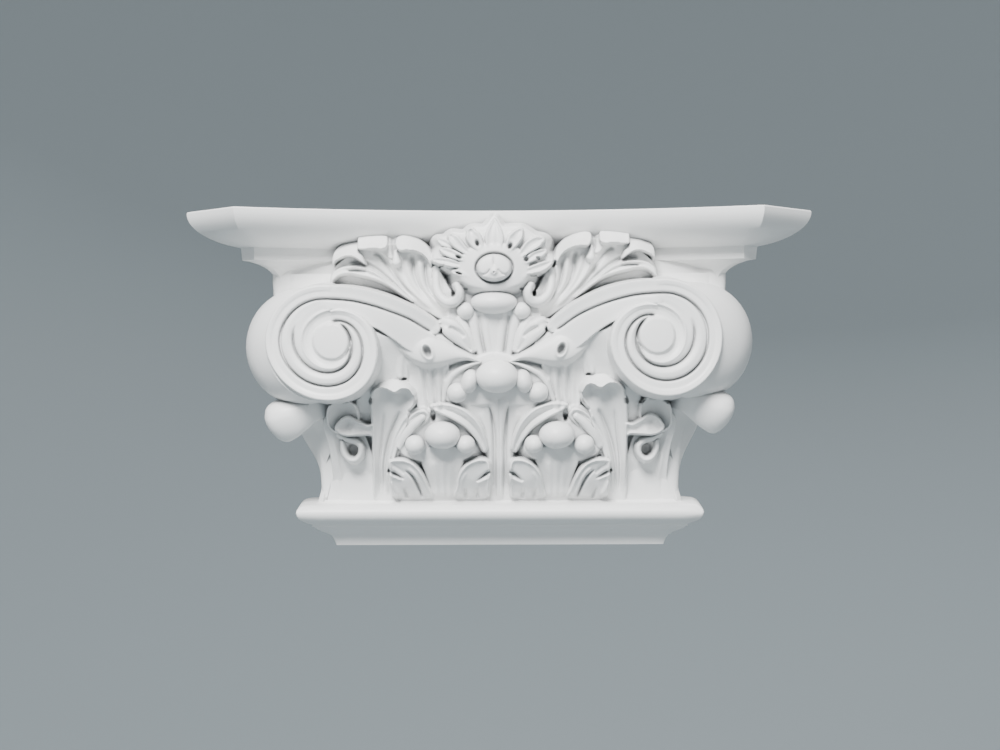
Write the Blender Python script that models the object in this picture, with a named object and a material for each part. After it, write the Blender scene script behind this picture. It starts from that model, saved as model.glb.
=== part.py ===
# Pilaster capital: a composite capital for the head of a flat pilaster, moulded in one piece.
# The frame: +X to the right along the wall, -Y out of the wall, +Z up.
# The wall is the plane y = 0, and the origin is the middle of the flat back.

import math

import bmesh
import bpy
from mathutils import Vector

# Driving sizes in millimetres
MM = 0.001
CAPITAL_HEIGHT = 168.0        # underside to top
SHAFT_WIDTH = 168.0           # pilaster face that the capital stands on
SHAFT_DEPTH = 27.0            # how far that pilaster stands out of the wall
SIDE_DRAFT = 0.08             # sideways flare towards the wall, per millimetre of depth

BASE_BAND = 2.0               # plain strip above the underside
BASE_COVE = 6.5               # height of the hollow above it
BASE_COVE_PROJECTION = 7.8
BASE_FILLET = 2.6
BASE_FILLET_PROJECTION = 10.6
BASE_TORUS = 10.8             # height of the round
BASE_TORUS_CREST = 6.8        # where it is widest, above its foot
BASE_TORUS_PROJECTION = 18.3
BASE_TORUS_LIP = 4.6          # how far its top edge is set back from the crest
NECK_PROJECTION = 6.5         # bell over pilaster face at its foot

ABACUS_CORNER_X = 126.5       # front end of the cut-off corner
ABACUS_CORNER_OUT = 82.0
ABACUS_CORNER_CUT = 28.0      # the corner is cut off at 45 degrees by this much each way
ABACUS_HOLLOW = 24.5          # how far the front curves in between its corners
ABACUS_OVOLO = 17.4           # height of the quarter round
ABACUS_OVOLO_PROJECTION = 21.8
ABACUS_OVOLO_SWEEP = 70.0     # degrees of the ellipse that its curve takes
ABACUS_FILLET = 5.4
ABACUS_FILLET_SET_BACK = 2.4
ABACUS_COVE = 11.2
ABACUS_COVE_PROJECTION = 9.7

BELL_TOP_HALF_WIDTH = 114.5
BELL_FRONT_TOP = 50.0         # how far out the bell stands under the abacus, at its middle
BELL_ROUND_X = 50.0           # the middle is this wide to each side, and falls back from there
BELL_CORNER_OUT = 39.5        # how far out its corners stand under the abacus
BELL_CORNER_CUT = 3.0

VOLUTE_X = 78.5
VOLUTE_HEIGHT = 103.6         # eye above the underside
VOLUTE_RADIUS = 32.2          # eye to the outermost turn
VOLUTE_OUT = 76.0
VOLUTE_TURN_OUT = 0.12        # how much the outer edge falls back, per millimetre across
RIGHT_VOLUTE_RAISE = 2.0      # the right-hand side of the carved master sits a little higher
VOLUTES_SHIFT = -2.8          # and the pair of volutes a little to the left
BOLSTER_HALF_WIDTH = 28.0
BOLSTER_HALF_HEIGHT = 29.5
BOLSTER_X = 100.0
BOLSTER_HEIGHT = 101.5

CARVING_ROOT = 18.0           # the carved forms reach back into the bell to this depth
ROSETTE_X = -2.5
ROSETTE_RADIUS = 8.6
BUD_WIDTH = 21.0

# Worked-out levels, measured up from the underside
TORUS_FOOT = BASE_BAND + BASE_COVE + BASE_FILLET
BASE_TOP = TORUS_FOOT + BASE_TORUS
ABACUS_FOOT = CAPITAL_HEIGHT - ABACUS_OVOLO - ABACUS_FILLET - ABACUS_COVE
BELL_HEIGHT = ABACUS_FOOT - BASE_TOP
HALF_SHAFT = SHAFT_WIDTH / 2
NECK_HALF_WIDTH = HALF_SHAFT + NECK_PROJECTION
NECK_OUT = SHAFT_DEPTH + NECK_PROJECTION
TIP_X = ABACUS_CORNER_X + ABACUS_CORNER_CUT

# The carving is drawn on a field of these many parts, and stretched to the bell's real size
FIELD = {"foot": 21.9, "height": 112.1, "half_width": 90.5, "out": 50.0}
across = NECK_HALF_WIDTH / FIELD["half_width"]
upward = BELL_HEIGHT / FIELD["height"]
outward = BELL_FRONT_TOP / FIELD["out"]

# Real sizes in the field's parts
root_out = CARVING_ROOT / outward
lift_right = RIGHT_VOLUTE_RAISE / upward
rosette_x = ROSETTE_X / across
rosette_radius = ROSETTE_RADIUS / across
bud_half_width = BUD_WIDTH / 2 / across

FACET_SHARE = 0.72           # share of the facets that is kept after the forms are joined
WHITE = (0.86, 0.86, 0.85, 1.0)


def clear_scene():
    for old in list(bpy.data.objects):
        bpy.data.objects.remove(old, do_unlink=True)


def point(x, height, out):
    """A point of the capital in metres, from its place in millimetres."""
    return Vector((x, -out, height - CAPITAL_HEIGHT / 2)) * MM


def carved(x, height, out):
    """The same for a point of the carving's field."""
    return point(x * across, BASE_TOP + (height - FIELD["foot"]) * upward, out * outward)


def blend(values, t):
    """Smooth curve through evenly spaced values, at t from 0 to 1."""
    last = len(values) - 1
    place = min(max(t, 0.0), 1.0) * last
    i = min(int(place), last - 1)
    u = place - i
    a, b = values[i], values[i + 1]
    before = values[i - 1] if i > 0 else 2 * a - b
    after = values[i + 2] if i + 2 <= last else 2 * b - a
    slope_a = (b - before) / 2
    slope_b = (after - a) / 2
    return (a * (2 * u ** 3 - 3 * u ** 2 + 1) + slope_a * (u ** 3 - 2 * u ** 2 + u)
            + b * (3 * u ** 2 - 2 * u ** 3) + slope_b * (u ** 3 - u ** 2))


def solid(name, points, faces, collection):
    """One closed mesh object, its faces turned outwards."""
    mesh = bpy.data.meshes.new(name)
    mesh.from_pydata(points, [], faces)
    bm = bmesh.new()
    bm.from_mesh(mesh)
    bmesh.ops.remove_doubles(bm, verts=bm.verts, dist=1e-6)
    bmesh.ops.triangulate(bm, faces=bm.faces)
    bmesh.ops.recalc_face_normals(bm, faces=bm.faces)
    if bm.calc_volume(signed=True) < 0:
        bmesh.ops.reverse_faces(bm, faces=bm.faces)
    bm.to_mesh(mesh)
    bm.free()
    obj = bpy.data.objects.new(name, mesh)
    collection.objects.link(obj)
    return obj


def stack(name, rings, collection):
    """A solid between rings of equal length, closed at both ends."""
    count = len(rings[0])
    points = [p for ring in rings for p in ring]
    faces = []
    for level in range(len(rings) - 1):
        for i in range(count):
            j = (i + 1) % count
            low, high = level * count, (level + 1) * count
            faces.append((low + i, low + j, high + j, high + i))
    faces.append(tuple(range(count)))
    faces.append(tuple(range(len(points) - count, len(points))))
    return solid(name, points, faces, collection)


def mirrored_ring(half):
    """A whole plan outline from its right half, centre line first and wall last."""
    return half + [(-x, out) for x, out in reversed(half) if x > 1e-6]


# Mouldings

def base_profile():
    """Height and projection of the base moulding, from the underside up."""
    profile = [(0.0, 0.0), (BASE_BAND, 0.8)]
    steps = 4
    for i in range(1, steps + 1):
        angle = math.pi / 2 * i / steps
        rise = BASE_BAND + BASE_COVE * math.sin(angle)
        profile.append((rise, 0.8 + (BASE_COVE_PROJECTION - 0.8) * (1 - math.cos(angle))))
    profile.append((BASE_BAND + BASE_COVE + 0.6, BASE_FILLET_PROJECTION))
    profile.append((TORUS_FOOT, BASE_FILLET_PROJECTION))
    steps = 4
    for i in range(1, steps + 1):
        angle = math.pi / 2 * i / steps
        profile.append((TORUS_FOOT + BASE_TORUS_CREST * (1 - math.cos(angle)), BASE_FILLET_PROJECTION
                        + (BASE_TORUS_PROJECTION - BASE_FILLET_PROJECTION) * math.sin(angle)))
    steps = 3
    for i in range(1, steps + 1):
        angle = math.pi / 2 * i / steps
        profile.append((TORUS_FOOT + BASE_TORUS_CREST + (BASE_TORUS - BASE_TORUS_CREST) * math.sin(angle),
                        BASE_TORUS_PROJECTION - BASE_TORUS_LIP * (1 - math.cos(angle))))
    return profile


def base_plan(projection):
    half_width = HALF_SHAFT + projection
    out = SHAFT_DEPTH + projection
    return mirrored_ring([(0.0, out), (half_width, out), (half_width + SIDE_DRAFT * out, 0.0)])


def make_base(collection):
    rings = []
    for height, projection in base_profile():
        rings.append([point(x, height, out) for x, out in base_plan(projection)])
    return stack("base", rings, collection)


def abacus_arc(inset):
    """Right half of the hollow front, from the centre line to the corner, set in by inset."""
    radius = (ABACUS_CORNER_X ** 2 + ABACUS_HOLLOW ** 2) / (2 * ABACUS_HOLLOW)
    centre_out = ABACUS_CORNER_OUT - ABACUS_HOLLOW + radius
    corner_sum = ABACUS_CORNER_X + ABACUS_CORNER_OUT - math.sqrt(2) * inset
    reach = radius + inset
    end = math.pi / 4 + math.asin((corner_sum - centre_out) / (math.sqrt(2) * reach))
    widest = TIP_X - ABACUS_CORNER_OUT - BELL_CORNER_CUT + centre_out
    end = min(end, math.asin(widest / (math.sqrt(2) * reach)) - math.pi / 4)
    steps = 5
    arc = []
    for i in range(steps + 1):
        angle = end * i / steps
        arc.append((reach * math.sin(angle), centre_out - reach * math.cos(angle)))
    return arc


def abacus_plan(inset):
    """The side is the front mirrored across the cut corner, and it ends at the wall."""
    front = abacus_arc(inset)
    shift = TIP_X - ABACUS_CORNER_OUT
    tip_x, tip_out = front[-1][1] + shift, front[-1][0] - shift
    side = [(tip_x, tip_out)]
    radius = (ABACUS_CORNER_X ** 2 + ABACUS_HOLLOW ** 2) / (2 * ABACUS_HOLLOW)
    centre_out = ABACUS_CORNER_OUT - ABACUS_HOLLOW + radius
    for i in range(1, 4):
        out = tip_out * (1 - i / 3)
        along = out + shift
        side.append((centre_out - math.sqrt((radius + inset) ** 2 - along ** 2) + shift, out))
    return mirrored_ring(front + side)


def abacus_profile():
    """Height and inset of the abacus, from its foot up."""
    cove_top = ABACUS_OVOLO_PROJECTION + ABACUS_FILLET_SET_BACK
    profile = []
    steps = 4
    for i in range(steps + 1):
        angle = math.pi / 2 * i / steps
        profile.append((ABACUS_FOOT + ABACUS_COVE * math.sin(angle),
                        cove_top + ABACUS_COVE_PROJECTION * math.cos(angle)))
    fillet_top = ABACUS_FOOT + ABACUS_COVE + ABACUS_FILLET
    profile.append((fillet_top, ABACUS_OVOLO_PROJECTION + 0.4))
    sweep = math.radians(ABACUS_OVOLO_SWEEP)
    for i in range(5, -1, -1):
        angle = sweep * i / 5
        profile.append((CAPITAL_HEIGHT - (ABACUS_OVOLO - 0.4) * math.sin(angle) / math.sin(sweep),
                        ABACUS_OVOLO_PROJECTION * (1 - math.cos(angle)) / (1 - math.cos(sweep))))
    return profile


def make_abacus(collection):
    rings = []
    for height, inset in abacus_profile():
        rings.append([point(x, height, out) for x, out in abacus_plan(inset)])
    return stack("abacus", rings, collection)


def bell_plan(rise):
    """Plan of the bell, with rise 0 at its foot and 1 under the abacus."""
    width_share = blend([0.0, 0.05, 0.22, 0.6, 0.92, 1.0], rise)
    out_share = blend([0.0, 0.3, 0.6, 0.82, 0.97, 1.0], rise)
    half_width = NECK_HALF_WIDTH + (BELL_TOP_HALF_WIDTH - NECK_HALF_WIDTH) * width_share
    middle = NECK_OUT + (BELL_FRONT_TOP - NECK_OUT) * out_share
    corner = NECK_OUT + (BELL_CORNER_OUT - NECK_OUT) * out_share
    between = corner + (middle - corner) * 0.35
    flare = SIDE_DRAFT * corner * (1 - width_share)
    cut = BELL_CORNER_CUT
    turn_x = (BELL_ROUND_X + half_width) / 2
    return mirrored_ring([(0.0, middle), (BELL_ROUND_X, middle - 0.5), (turn_x, between),
                          (half_width - cut, corner), (half_width, corner - cut),
                          (half_width + flare, 0.0)])


def make_bell(collection):
    foot = TORUS_FOOT + BASE_TORUS / 2
    top = ABACUS_FOOT + ABACUS_COVE + ABACUS_FILLET / 2
    rings = [[point(x, foot, out) for x, out in bell_plan(0.0)]]
    steps = 10
    for i in range(steps + 1):
        rise = i / steps
        rings.append([point(x, BASE_TOP + BELL_HEIGHT * rise, out) for x, out in bell_plan(rise)])
    rings.append([point(x, top, out) for x, out in bell_plan(1.0)])
    return stack("bell", rings, collection)


# Volutes, with their angles turning from the top, outwards and down

OUTLINE = [26.9, 32.2, 28.6, 22.2, 26.9]        # outer edge each quarter turn, closed by the arm
EDGE = [26.9, 32.2, 28.6, 22.1, 15.2, 14.2, 13.2, 9.8, 8.8]        # edge of the band as it winds in
GROOVE = [20.1, 25.0, 21.3, 14.7, 9.4]


def make_volute(side, collection):
    """A disc whose face carries a raised spiral band that winds in to a round eye."""
    turn = 24
    size = VOLUTE_RADIUS / EDGE[1]
    raise_by = RIGHT_VOLUTE_RAISE if side > 0 else 0.0
    eye = EDGE[-1] * 0.98
    rows = [[] for _ in range(8)]
    for i in range(turn):
        share = i / turn
        edge = blend(OUTLINE, share)
        groove = blend(GROOVE, share)
        second = min(blend(EDGE, 0.5 + share / 2), groove - 1.0)
        radii = [edge, edge, edge * 0.96, (edge + groove) / 2, groove, (groove + second) / 2,
                 (second + eye) / 2, eye * 0.86]
        drops = [None, -3.0, 0.0, -1.2, -3.6, 0.4, -2.4, 0.8]
        angle = 2 * math.pi * share
        for row, radius, drop in zip(rows, radii, drops):
            dx = radius * size * math.sin(angle)
            dz = radius * size * math.cos(angle)
            out = CARVING_ROOT if drop is None else VOLUTE_OUT + drop - VOLUTE_TURN_OUT * dx
            row.append(point(side * (VOLUTE_X + dx) + VOLUTES_SHIFT, VOLUTE_HEIGHT + raise_by + dz, out))
    return stack("volute", rows, collection)


def make_bolster(side, collection):
    """The roll behind the volute, which swells sideways and runs back to the wall."""
    count = 20
    raise_by = RIGHT_VOLUTE_RAISE if side > 0 else 0.0
    face_x = VOLUTE_X + 0.17 * VOLUTE_RADIUS
    face_radius = 0.83 * VOLUTE_RADIUS
    rings = []
    for depth_share, swell in ((0.92, 0.0), (0.84, 0.45), (0.71, 0.85), (0.55, 1.0), (0.32, 1.0),
                               (0.13, 0.92), (0.0, 0.9)):
        centre_x = face_x + (BOLSTER_X - face_x) * swell
        half_width = face_radius + (BOLSTER_HALF_WIDTH - face_radius) * swell
        half_height = face_radius + (BOLSTER_HALF_HEIGHT - face_radius) * swell
        ring = []
        for i in range(count):
            angle = 2 * math.pi * i / count
            x = side * (centre_x + half_width * math.cos(angle)) + VOLUTES_SHIFT * (1 - swell)
            height = BOLSTER_HEIGHT + raise_by + half_height * math.sin(angle)
            ring.append(point(x, height, VOLUTE_OUT * depth_share))
        rings.append(ring)
    return stack("bolster", rings, collection)


# Leaves, buds and balls, drawn in the carving's field

def blade(collection, root, tip, bow, widths, outs, crown=2.0, flutes=0, side=1, steps=5, lanes=4,
          rounding=0.35, end_width=0.32, raise_by=0.0):
    """A leaf lobe from root to tip: its ridge is a bowed line, and its walls go back into the bell."""
    root_x, root_z = root
    tip_x, tip_z = tip
    length = math.hypot(tip_x - root_x, tip_z - root_z)
    mid_x = (root_x + tip_x) / 2 - (tip_z - root_z) / length * bow * 2
    mid_z = (root_z + tip_z) / 2 + (tip_x - root_x) / length * bow * 2
    front = []
    for i in range(steps + 1):
        t = i / steps
        x = (1 - t) ** 2 * root_x + 2 * t * (1 - t) * mid_x + t ** 2 * tip_x
        z = (1 - t) ** 2 * root_z + 2 * t * (1 - t) * mid_z + t ** 2 * tip_z
        dx = 2 * (1 - t) * (mid_x - root_x) + 2 * t * (tip_x - mid_x)
        dz = 2 * (1 - t) * (mid_z - root_z) + 2 * t * (tip_z - mid_z)
        run = math.hypot(dx, dz)
        width = blend(widths, t)
        if t > 1 - rounding:
            end = (t - 1 + rounding) / rounding
            width *= math.sqrt(1 - (1 - end_width ** 2) * end ** 2)
        for k in range(lanes + 1):
            s = -1 + 2 * k / lanes
            swell = crown * (1 - s * s)
            if flutes:
                swell += 0.9 * math.cos(math.pi * flutes * (s + 1)) - 0.9
            front.append((x - s * width * dz / run, z + s * width * dx / run + raise_by,
                          blend(outs, t) + swell))
    row = lanes + 1
    last = steps * row
    rim = (list(range(row)) + [i * row + lanes for i in range(1, steps + 1)]
           + [last + k for k in range(lanes - 1, -1, -1)] + [i * row for i in range(steps - 1, 0, -1)])
    points = [carved(side * x, z, out) for x, z, out in front]
    points += [carved(side * front[i][0], front[i][1], root_out) for i in rim]
    faces = []
    for i in range(steps):
        for k in range(lanes):
            a = i * row + k
            faces.append((a, a + 1, a + row + 1, a + row))
    size = len(front)
    for n, index in enumerate(rim):
        after = (n + 1) % len(rim)
        faces.append((index, rim[after], size + after, size + n))
    faces.append(tuple(range(size, len(points))))
    return solid("leaf", points, faces, collection)


def ball(collection, x, height, out, radii, side=1, raise_by=0.0, around=8, rings=4):
    """An egg or ball that stands out of what carries it."""
    half_x, half_z, half_out = radii
    rows = []
    for i in range(rings + 1):
        tilt = math.radians(12 + 88 * i / rings)
        row = []
        for j in range(around):
            turn = 2 * math.pi * (j + 0.5) / around
            row.append(carved(side * x + half_x * math.sin(tilt) * math.cos(turn),
                              height + raise_by + half_z * math.sin(tilt) * math.sin(turn),
                              out + half_out * math.cos(tilt)))
        rows.append(row)
    rows.append([carved(side * x + half_x * 0.9 * math.cos(2 * math.pi * (j + 0.5) / around),
                        height + raise_by + half_z * 0.9 * math.sin(2 * math.pi * (j + 0.5) / around),
                        root_out) for j in range(around)])
    return stack("ball", rows, collection)


def make_scroll_arm(side, collection):
    """The two bands that leave the volute's top and run down to the middle."""
    lift = lift_right if side > 0 else 0.0
    blade(collection, (84.0, 127.2), (30.5, 110.5), -5.2, [3.4, 3.5, 3.4, 3.3], [75.0, 74.0, 70.0, 64.0],
          crown=1.4, side=side, steps=7, raise_by=lift, rounding=0.12, end_width=0.6)
    blade(collection, (80.0, 119.0), (34.0, 101.0), -4.0, [4.0, 5.4, 6.6, 8.0], [72.5, 72.0, 69.0, 64.0],
          crown=1.2, side=side, steps=7, raise_by=lift * 0.7, rounding=0.1, end_width=0.8)


def make_hook_leaf(side, collection):
    """The leaf under the arm: it bends over to touch the middle bud, and its flutes hang below."""
    blade(collection, (48.0, 98.0), (9.5, 94.0), -3.5, [6.5, 8.2, 5.0, 1.2], [61.0, 66.0, 66.0, 62.0],
          crown=2.6, side=side)
    blade(collection, (46.0, 101.0), (49.0, 85.0), -1.5, [4.5, 4.5, 2.4], [60.0, 62.0, 58.0], crown=2.0,
          side=side, steps=4, lanes=3)
    blade(collection, (35.5, 98.0), (34.0, 70.0), 0.0, [9.5, 8.0, 7.0], [61.0, 57.0, 52.0], crown=1.5,
          flutes=3, side=side, steps=3, lanes=6, rounding=0.1, end_width=0.8)
    blade(collection, (27.5, 78.0), (12.0, 92.5), -3.5, [2.2, 2.6, 1.6], [56.0, 61.0, 62.0], crown=1.2,
          side=side, steps=4, lanes=3)


def make_corner_leaf(side, collection):
    """The tall leaf beside each corner, with its heart-shaped head and three side lobes."""
    blade(collection, (58.0, 19.0), (52.0, 80.0), 1.0, [5.5, 6.6, 9.0, 11.0], [37.0, 44.0, 52.0, 60.0],
          crown=1.5, flutes=3, side=side, steps=5, lanes=6, rounding=0.2, end_width=0.7)
    blade(collection, (62.0, 71.0), (46.0, 83.5), -4.5, [3.2, 4.2, 3.2], [57.0, 62.0, 63.0], crown=2.5,
          side=side, lanes=3)
    blade(collection, (56.0, 82.0), (42.5, 72.0), -5.0, [3.4, 3.8, 3.2], [63.0, 62.0, 58.0], crown=2.5,
          side=side, lanes=3)
    blade(collection, (51.0, 40.0), (35.5, 69.0), -2.5, [4.0, 6.0, 4.0], [42.0, 49.0, 56.0], crown=2.2,
          side=side)
    blade(collection, (60.0, 44.0), (81.0, 61.5), 5.0, [4.0, 5.0, 2.6], [43.0, 52.0, 56.0], crown=2.2,
          side=side, lanes=3)
    blade(collection, (73.0, 45.0), (78.0, 75.0), -3.5, [5.0, 6.0, 6.0], [40.0, 45.0, 54.0], crown=1.2,
          side=side, lanes=3)
    blade(collection, (74.0, 19.0), (72.0, 54.0), -2.0, [8.0, 7.5, 5.0], [35.0, 40.0, 48.0], crown=1.5,
          flutes=2, side=side, lanes=4)


def make_corner_curl(side, collection):
    """The leaf that stands at the corner and rolls over outwards, drawn across the corner."""
    middle = [(-26.0, 19.0), (5.0, 19.0), (6.0, 36.0), (9.0, 44.0), (13.5, 49.5), (19.0, 53.0),
              (23.5, 56.0), (27.5, 54.2), (31.0, 57.5), (33.0, 65.0), (30.5, 72.0), (24.0, 76.0),
              (14.0, 77.5), (-26.0, 79.0)]
    end = [(-26.0, 19.0), (5.0, 19.0), (6.5, 36.0), (8.5, 46.0), (11.0, 54.0), (14.5, 60.5),
           (18.5, 65.5), (21.5, 66.8), (23.5, 66.4), (25.5, 69.0), (24.0, 73.0), (20.0, 75.5),
           (14.0, 77.0), (-26.0, 79.0)]
    pivot_x, pivot_out = 86.0, 29.0
    diagonal = math.sqrt(0.5)
    rings = []
    for share in (-1.0, -0.6, 0.0, 0.6, 1.0):
        ring = []
        for (reach, height), (end_reach, end_height) in zip(middle, end):
            reach += (end_reach - reach) * share ** 2
            height += (end_height - height) * share ** 2
            opened = min(max((height - 30.0) / 24.0, 0.0), 1.0)
            sideways = (2.5 + 10.5 * opened * opened * (3 - 2 * opened)) * share
            x = pivot_x + (reach + sideways) * diagonal
            out = pivot_out + (reach - sideways) * diagonal
            ring.append(carved(side * x, height, max(out, 4.0)))
        rings.append(ring)
    return stack("curl", rings, collection)


def make_calyx(side, collection):
    """A low bud in its cup, between two split leaves."""
    ball(collection, 28.2, 57.0, 55.0, (8.8, 6.8, 8.0), side=side, around=12)
    for x in (42.4, 16.4):
        ball(collection, x, 52.8, 53.0, (4.9, 4.9, 5.0), side=side)
    blade(collection, (29.3, 20.0), (30.6, 54.0), 0.0, [6.5, 7.5, 11.0], [41.0, 46.0, 53.0], crown=2.0,
          flutes=3, side=side, steps=3, lanes=6, rounding=0.1, end_width=0.85)
    blade(collection, (35.0, 21.0), (50.5, 43.5), -6.0, [3.6, 6.2, 3.6], [40.0, 49.0, 50.0], crown=2.0,
          side=side)
    blade(collection, (44.0, 19.0), (53.0, 35.0), -3.5, [4.0, 5.4, 3.0], [38.0, 45.0, 46.0], crown=2.0,
          side=side, steps=4, lanes=3)
    blade(collection, (20.0, 21.0), (9.5, 43.5), 5.0, [3.6, 5.8, 3.6], [40.0, 49.0, 50.0], crown=2.0,
          side=side)
    blade(collection, (12.5, 19.0), (7.0, 35.0), 3.0, [3.6, 4.2, 2.8], [38.0, 45.0, 46.0], crown=2.0,
          side=side, steps=4, lanes=3)


def make_middle(collection):
    """The fluted stalk with its drooping leaves, the bud it carries and the small bud above it."""
    blade(collection, (0.0, 19.0), (-0.5, 84.0), 0.0, [6.5, 8.0, 15.0, 21.0], [41.0, 46.0, 54.0, 58.0],
          crown=1.0, flutes=4, steps=5, lanes=8, rounding=0.1, end_width=0.8)
    for side in (-1, 1):
        blade(collection, (13.0, 70.0), (7.5, 52.0), 6.5, [6.0, 4.5, 2.4], [55.0, 57.0, 52.0],
              crown=1.5, side=side)
        blade(collection, (18.0, 74.0), (33.0, 70.5), 2.0, [4.5, 3.6, 2.0], [56.0, 57.0, 54.0], crown=1.5,
              side=side, lanes=3)
        ball(collection, 13.2, 83.5, 60.0, (5.4, 6.4, 7.0), side=side)
        ball(collection, 19.6, 78.4, 58.0, (5.3, 5.3, 5.6), side=side)
        blade(collection, (26.0, 113.5), (12.5, 97.5), 2.5, [3.8, 5.2, 1.8], [56.0, 61.0, 58.0],
              crown=2.2, side=side)
    ball(collection, -0.5, 86.5, 62.0, (bud_half_width, 8.0, 9.0), around=12)
    ball(collection, -2.7, 123.0, 62.0, (11.6, 6.2, 9.0), around=12)
    for x in (-15.6, 10.6):
        ball(collection, x, 118.8, 60.0, (4.3, 4.3, 5.0))
    blade(collection, (-2.4, 122.0), (-1.5, 92.0), 0.0, [12.5, 7.5, 3.6], [58.0, 57.0, 56.0], crown=2.0,
          flutes=3, steps=3, lanes=6, rounding=0.1, end_width=0.8)


def make_fan(side, collection):
    """Half a palmette: its lobes spread from beside the rosette and roll forward at their tips."""
    root = (24.0, 114.0)
    lobes = [((75.0, 133.0), -6.0, 5.0, 58.0), ((74.0, 146.5), -5.5, 6.6, 63.0),
             ((64.0, 152.0), -4.5, 6.6, 64.0), ((51.0, 146.0), -3.0, 4.4, 60.0),
             ((43.0, 151.0), -3.0, 7.0, 65.0), ((31.0, 140.0), -1.0, 4.2, 58.0)]
    for tip, bow, width, out in lobes:
        blade(collection, root, tip, bow, [2.0, width * 0.7, width], [50.0, 52.0, out], crown=1.6,
              side=side, lanes=3, rounding=0.2, end_width=0.68)


def make_rosette(collection):
    """A round boss in a ring of small pointed leaves."""
    centre_z = 139.0
    ball(collection, rosette_x, centre_z, 66.0, (rosette_radius, rosette_radius * 0.8, 10.0), around=12)
    reaches = [24.0, 20.0, 21.0, 22.0, 21.0, 18.0, 18.0, 21.0, 22.0, 21.0, 20.0]
    for i, reach in enumerate(reaches):
        angle = 2 * math.pi * i / len(reaches)
        dx, dz = math.sin(angle), math.cos(angle)
        blade(collection, (rosette_x + dx * 7.0, centre_z + dz * 5.5),
              (rosette_x + dx * reach * 1.2, centre_z + dz * reach), 0.0, [3.0, 5.4, 3.6],
              [60.0, 68.0, 71.0], crown=1.6, steps=3, lanes=3, rounding=0.34, end_width=0.5)


def plastic_white():
    material = bpy.data.materials.new("moulded_white")
    material.use_nodes = True
    shader = material.node_tree.nodes["Principled BSDF"]
    shader.inputs["Base Color"].default_value = WHITE
    shader.inputs["Roughness"].default_value = 0.45
    shader.inputs["Metallic"].default_value = 0.0
    material.diffuse_color = WHITE
    return material


def main():
    clear_scene()
    forms = bpy.data.collections.new("forms")
    bpy.context.scene.collection.children.link(forms)
    capital = make_bell(bpy.context.scene.collection)
    capital.name = "capital"
    make_base(forms)
    make_abacus(forms)
    for side in (-1, 1):
        make_volute(side, forms)
        make_bolster(side, forms)
        make_scroll_arm(side, forms)
        make_hook_leaf(side, forms)
        make_corner_leaf(side, forms)
        make_corner_curl(side, forms)
        make_calyx(side, forms)
        make_fan(side, forms)
    make_middle(forms)
    make_rosette(forms)
    for form in forms.objects:
        form.hide_render = True
        form.display_type = "WIRE"
    union = capital.modifiers.new("carving", "BOOLEAN")
    union.operation = "UNION"
    union.operand_type = "COLLECTION"
    union.collection = forms
    union.solver = "EXACT"
    thin = capital.modifiers.new("facets", "DECIMATE")
    thin.decimate_type = "COLLAPSE"
    thin.ratio = FACET_SHARE
    capital.data.materials.append(plastic_white())
    return capital


main()
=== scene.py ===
# Pilaster capital: the looks of a moulded composite capital, dressed round its CAD body.
# Frame in metres: +X right along the wall, -Y out of the wall, +Z up. Shapes are drawn in millimetres.
import math
import bpy
import numpy as np
from mathutils import Matrix, Vector


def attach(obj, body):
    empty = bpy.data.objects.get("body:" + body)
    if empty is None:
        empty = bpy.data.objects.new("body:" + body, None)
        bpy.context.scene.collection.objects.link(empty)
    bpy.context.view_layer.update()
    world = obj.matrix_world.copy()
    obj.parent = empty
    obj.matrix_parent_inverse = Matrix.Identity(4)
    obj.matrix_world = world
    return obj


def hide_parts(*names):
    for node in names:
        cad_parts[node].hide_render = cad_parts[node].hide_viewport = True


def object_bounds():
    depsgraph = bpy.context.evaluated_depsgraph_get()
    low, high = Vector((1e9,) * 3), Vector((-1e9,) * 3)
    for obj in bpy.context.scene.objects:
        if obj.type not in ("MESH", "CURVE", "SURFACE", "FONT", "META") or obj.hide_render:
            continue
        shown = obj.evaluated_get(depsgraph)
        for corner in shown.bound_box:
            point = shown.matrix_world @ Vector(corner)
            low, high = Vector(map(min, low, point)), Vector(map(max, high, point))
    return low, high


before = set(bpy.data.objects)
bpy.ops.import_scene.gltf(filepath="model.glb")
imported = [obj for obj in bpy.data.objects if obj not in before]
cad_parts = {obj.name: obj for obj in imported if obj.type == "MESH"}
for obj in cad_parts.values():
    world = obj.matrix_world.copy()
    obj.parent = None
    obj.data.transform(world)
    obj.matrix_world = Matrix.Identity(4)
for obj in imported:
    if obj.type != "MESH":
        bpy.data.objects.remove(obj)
cadLow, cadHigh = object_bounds()
mm = 0.001
foot = cadLow.z                                  # the underside
height = (cadHigh.z - cadLow.z) / mm
tipX = cadHigh.x / mm                            # the abacus's outermost corner
frontOut = -cadLow.y / mm

# How uneven the carved master is: it leans a little to the left, and its right side sits higher
uneven = {"lean": -2.7, "leanFrom": 60.0, "leanTo": 108.0, "raise": 2.5, "curlRaise": 4.0}


def smoothStep(value, low, high):
    t = np.clip((value - low) / (high - low), 0.0, 1.0)
    return t * t * (3.0 - 2.0 * t)


def leanAt(z):
    return uneven["lean"] * smoothStep(z, uneven["leanFrom"], uneven["leanTo"])


def place(x, z, out):
    # millimetres from the underside's middle to a point of the frame
    return (x * mm, -out * mm, foot + z * mm)


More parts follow.
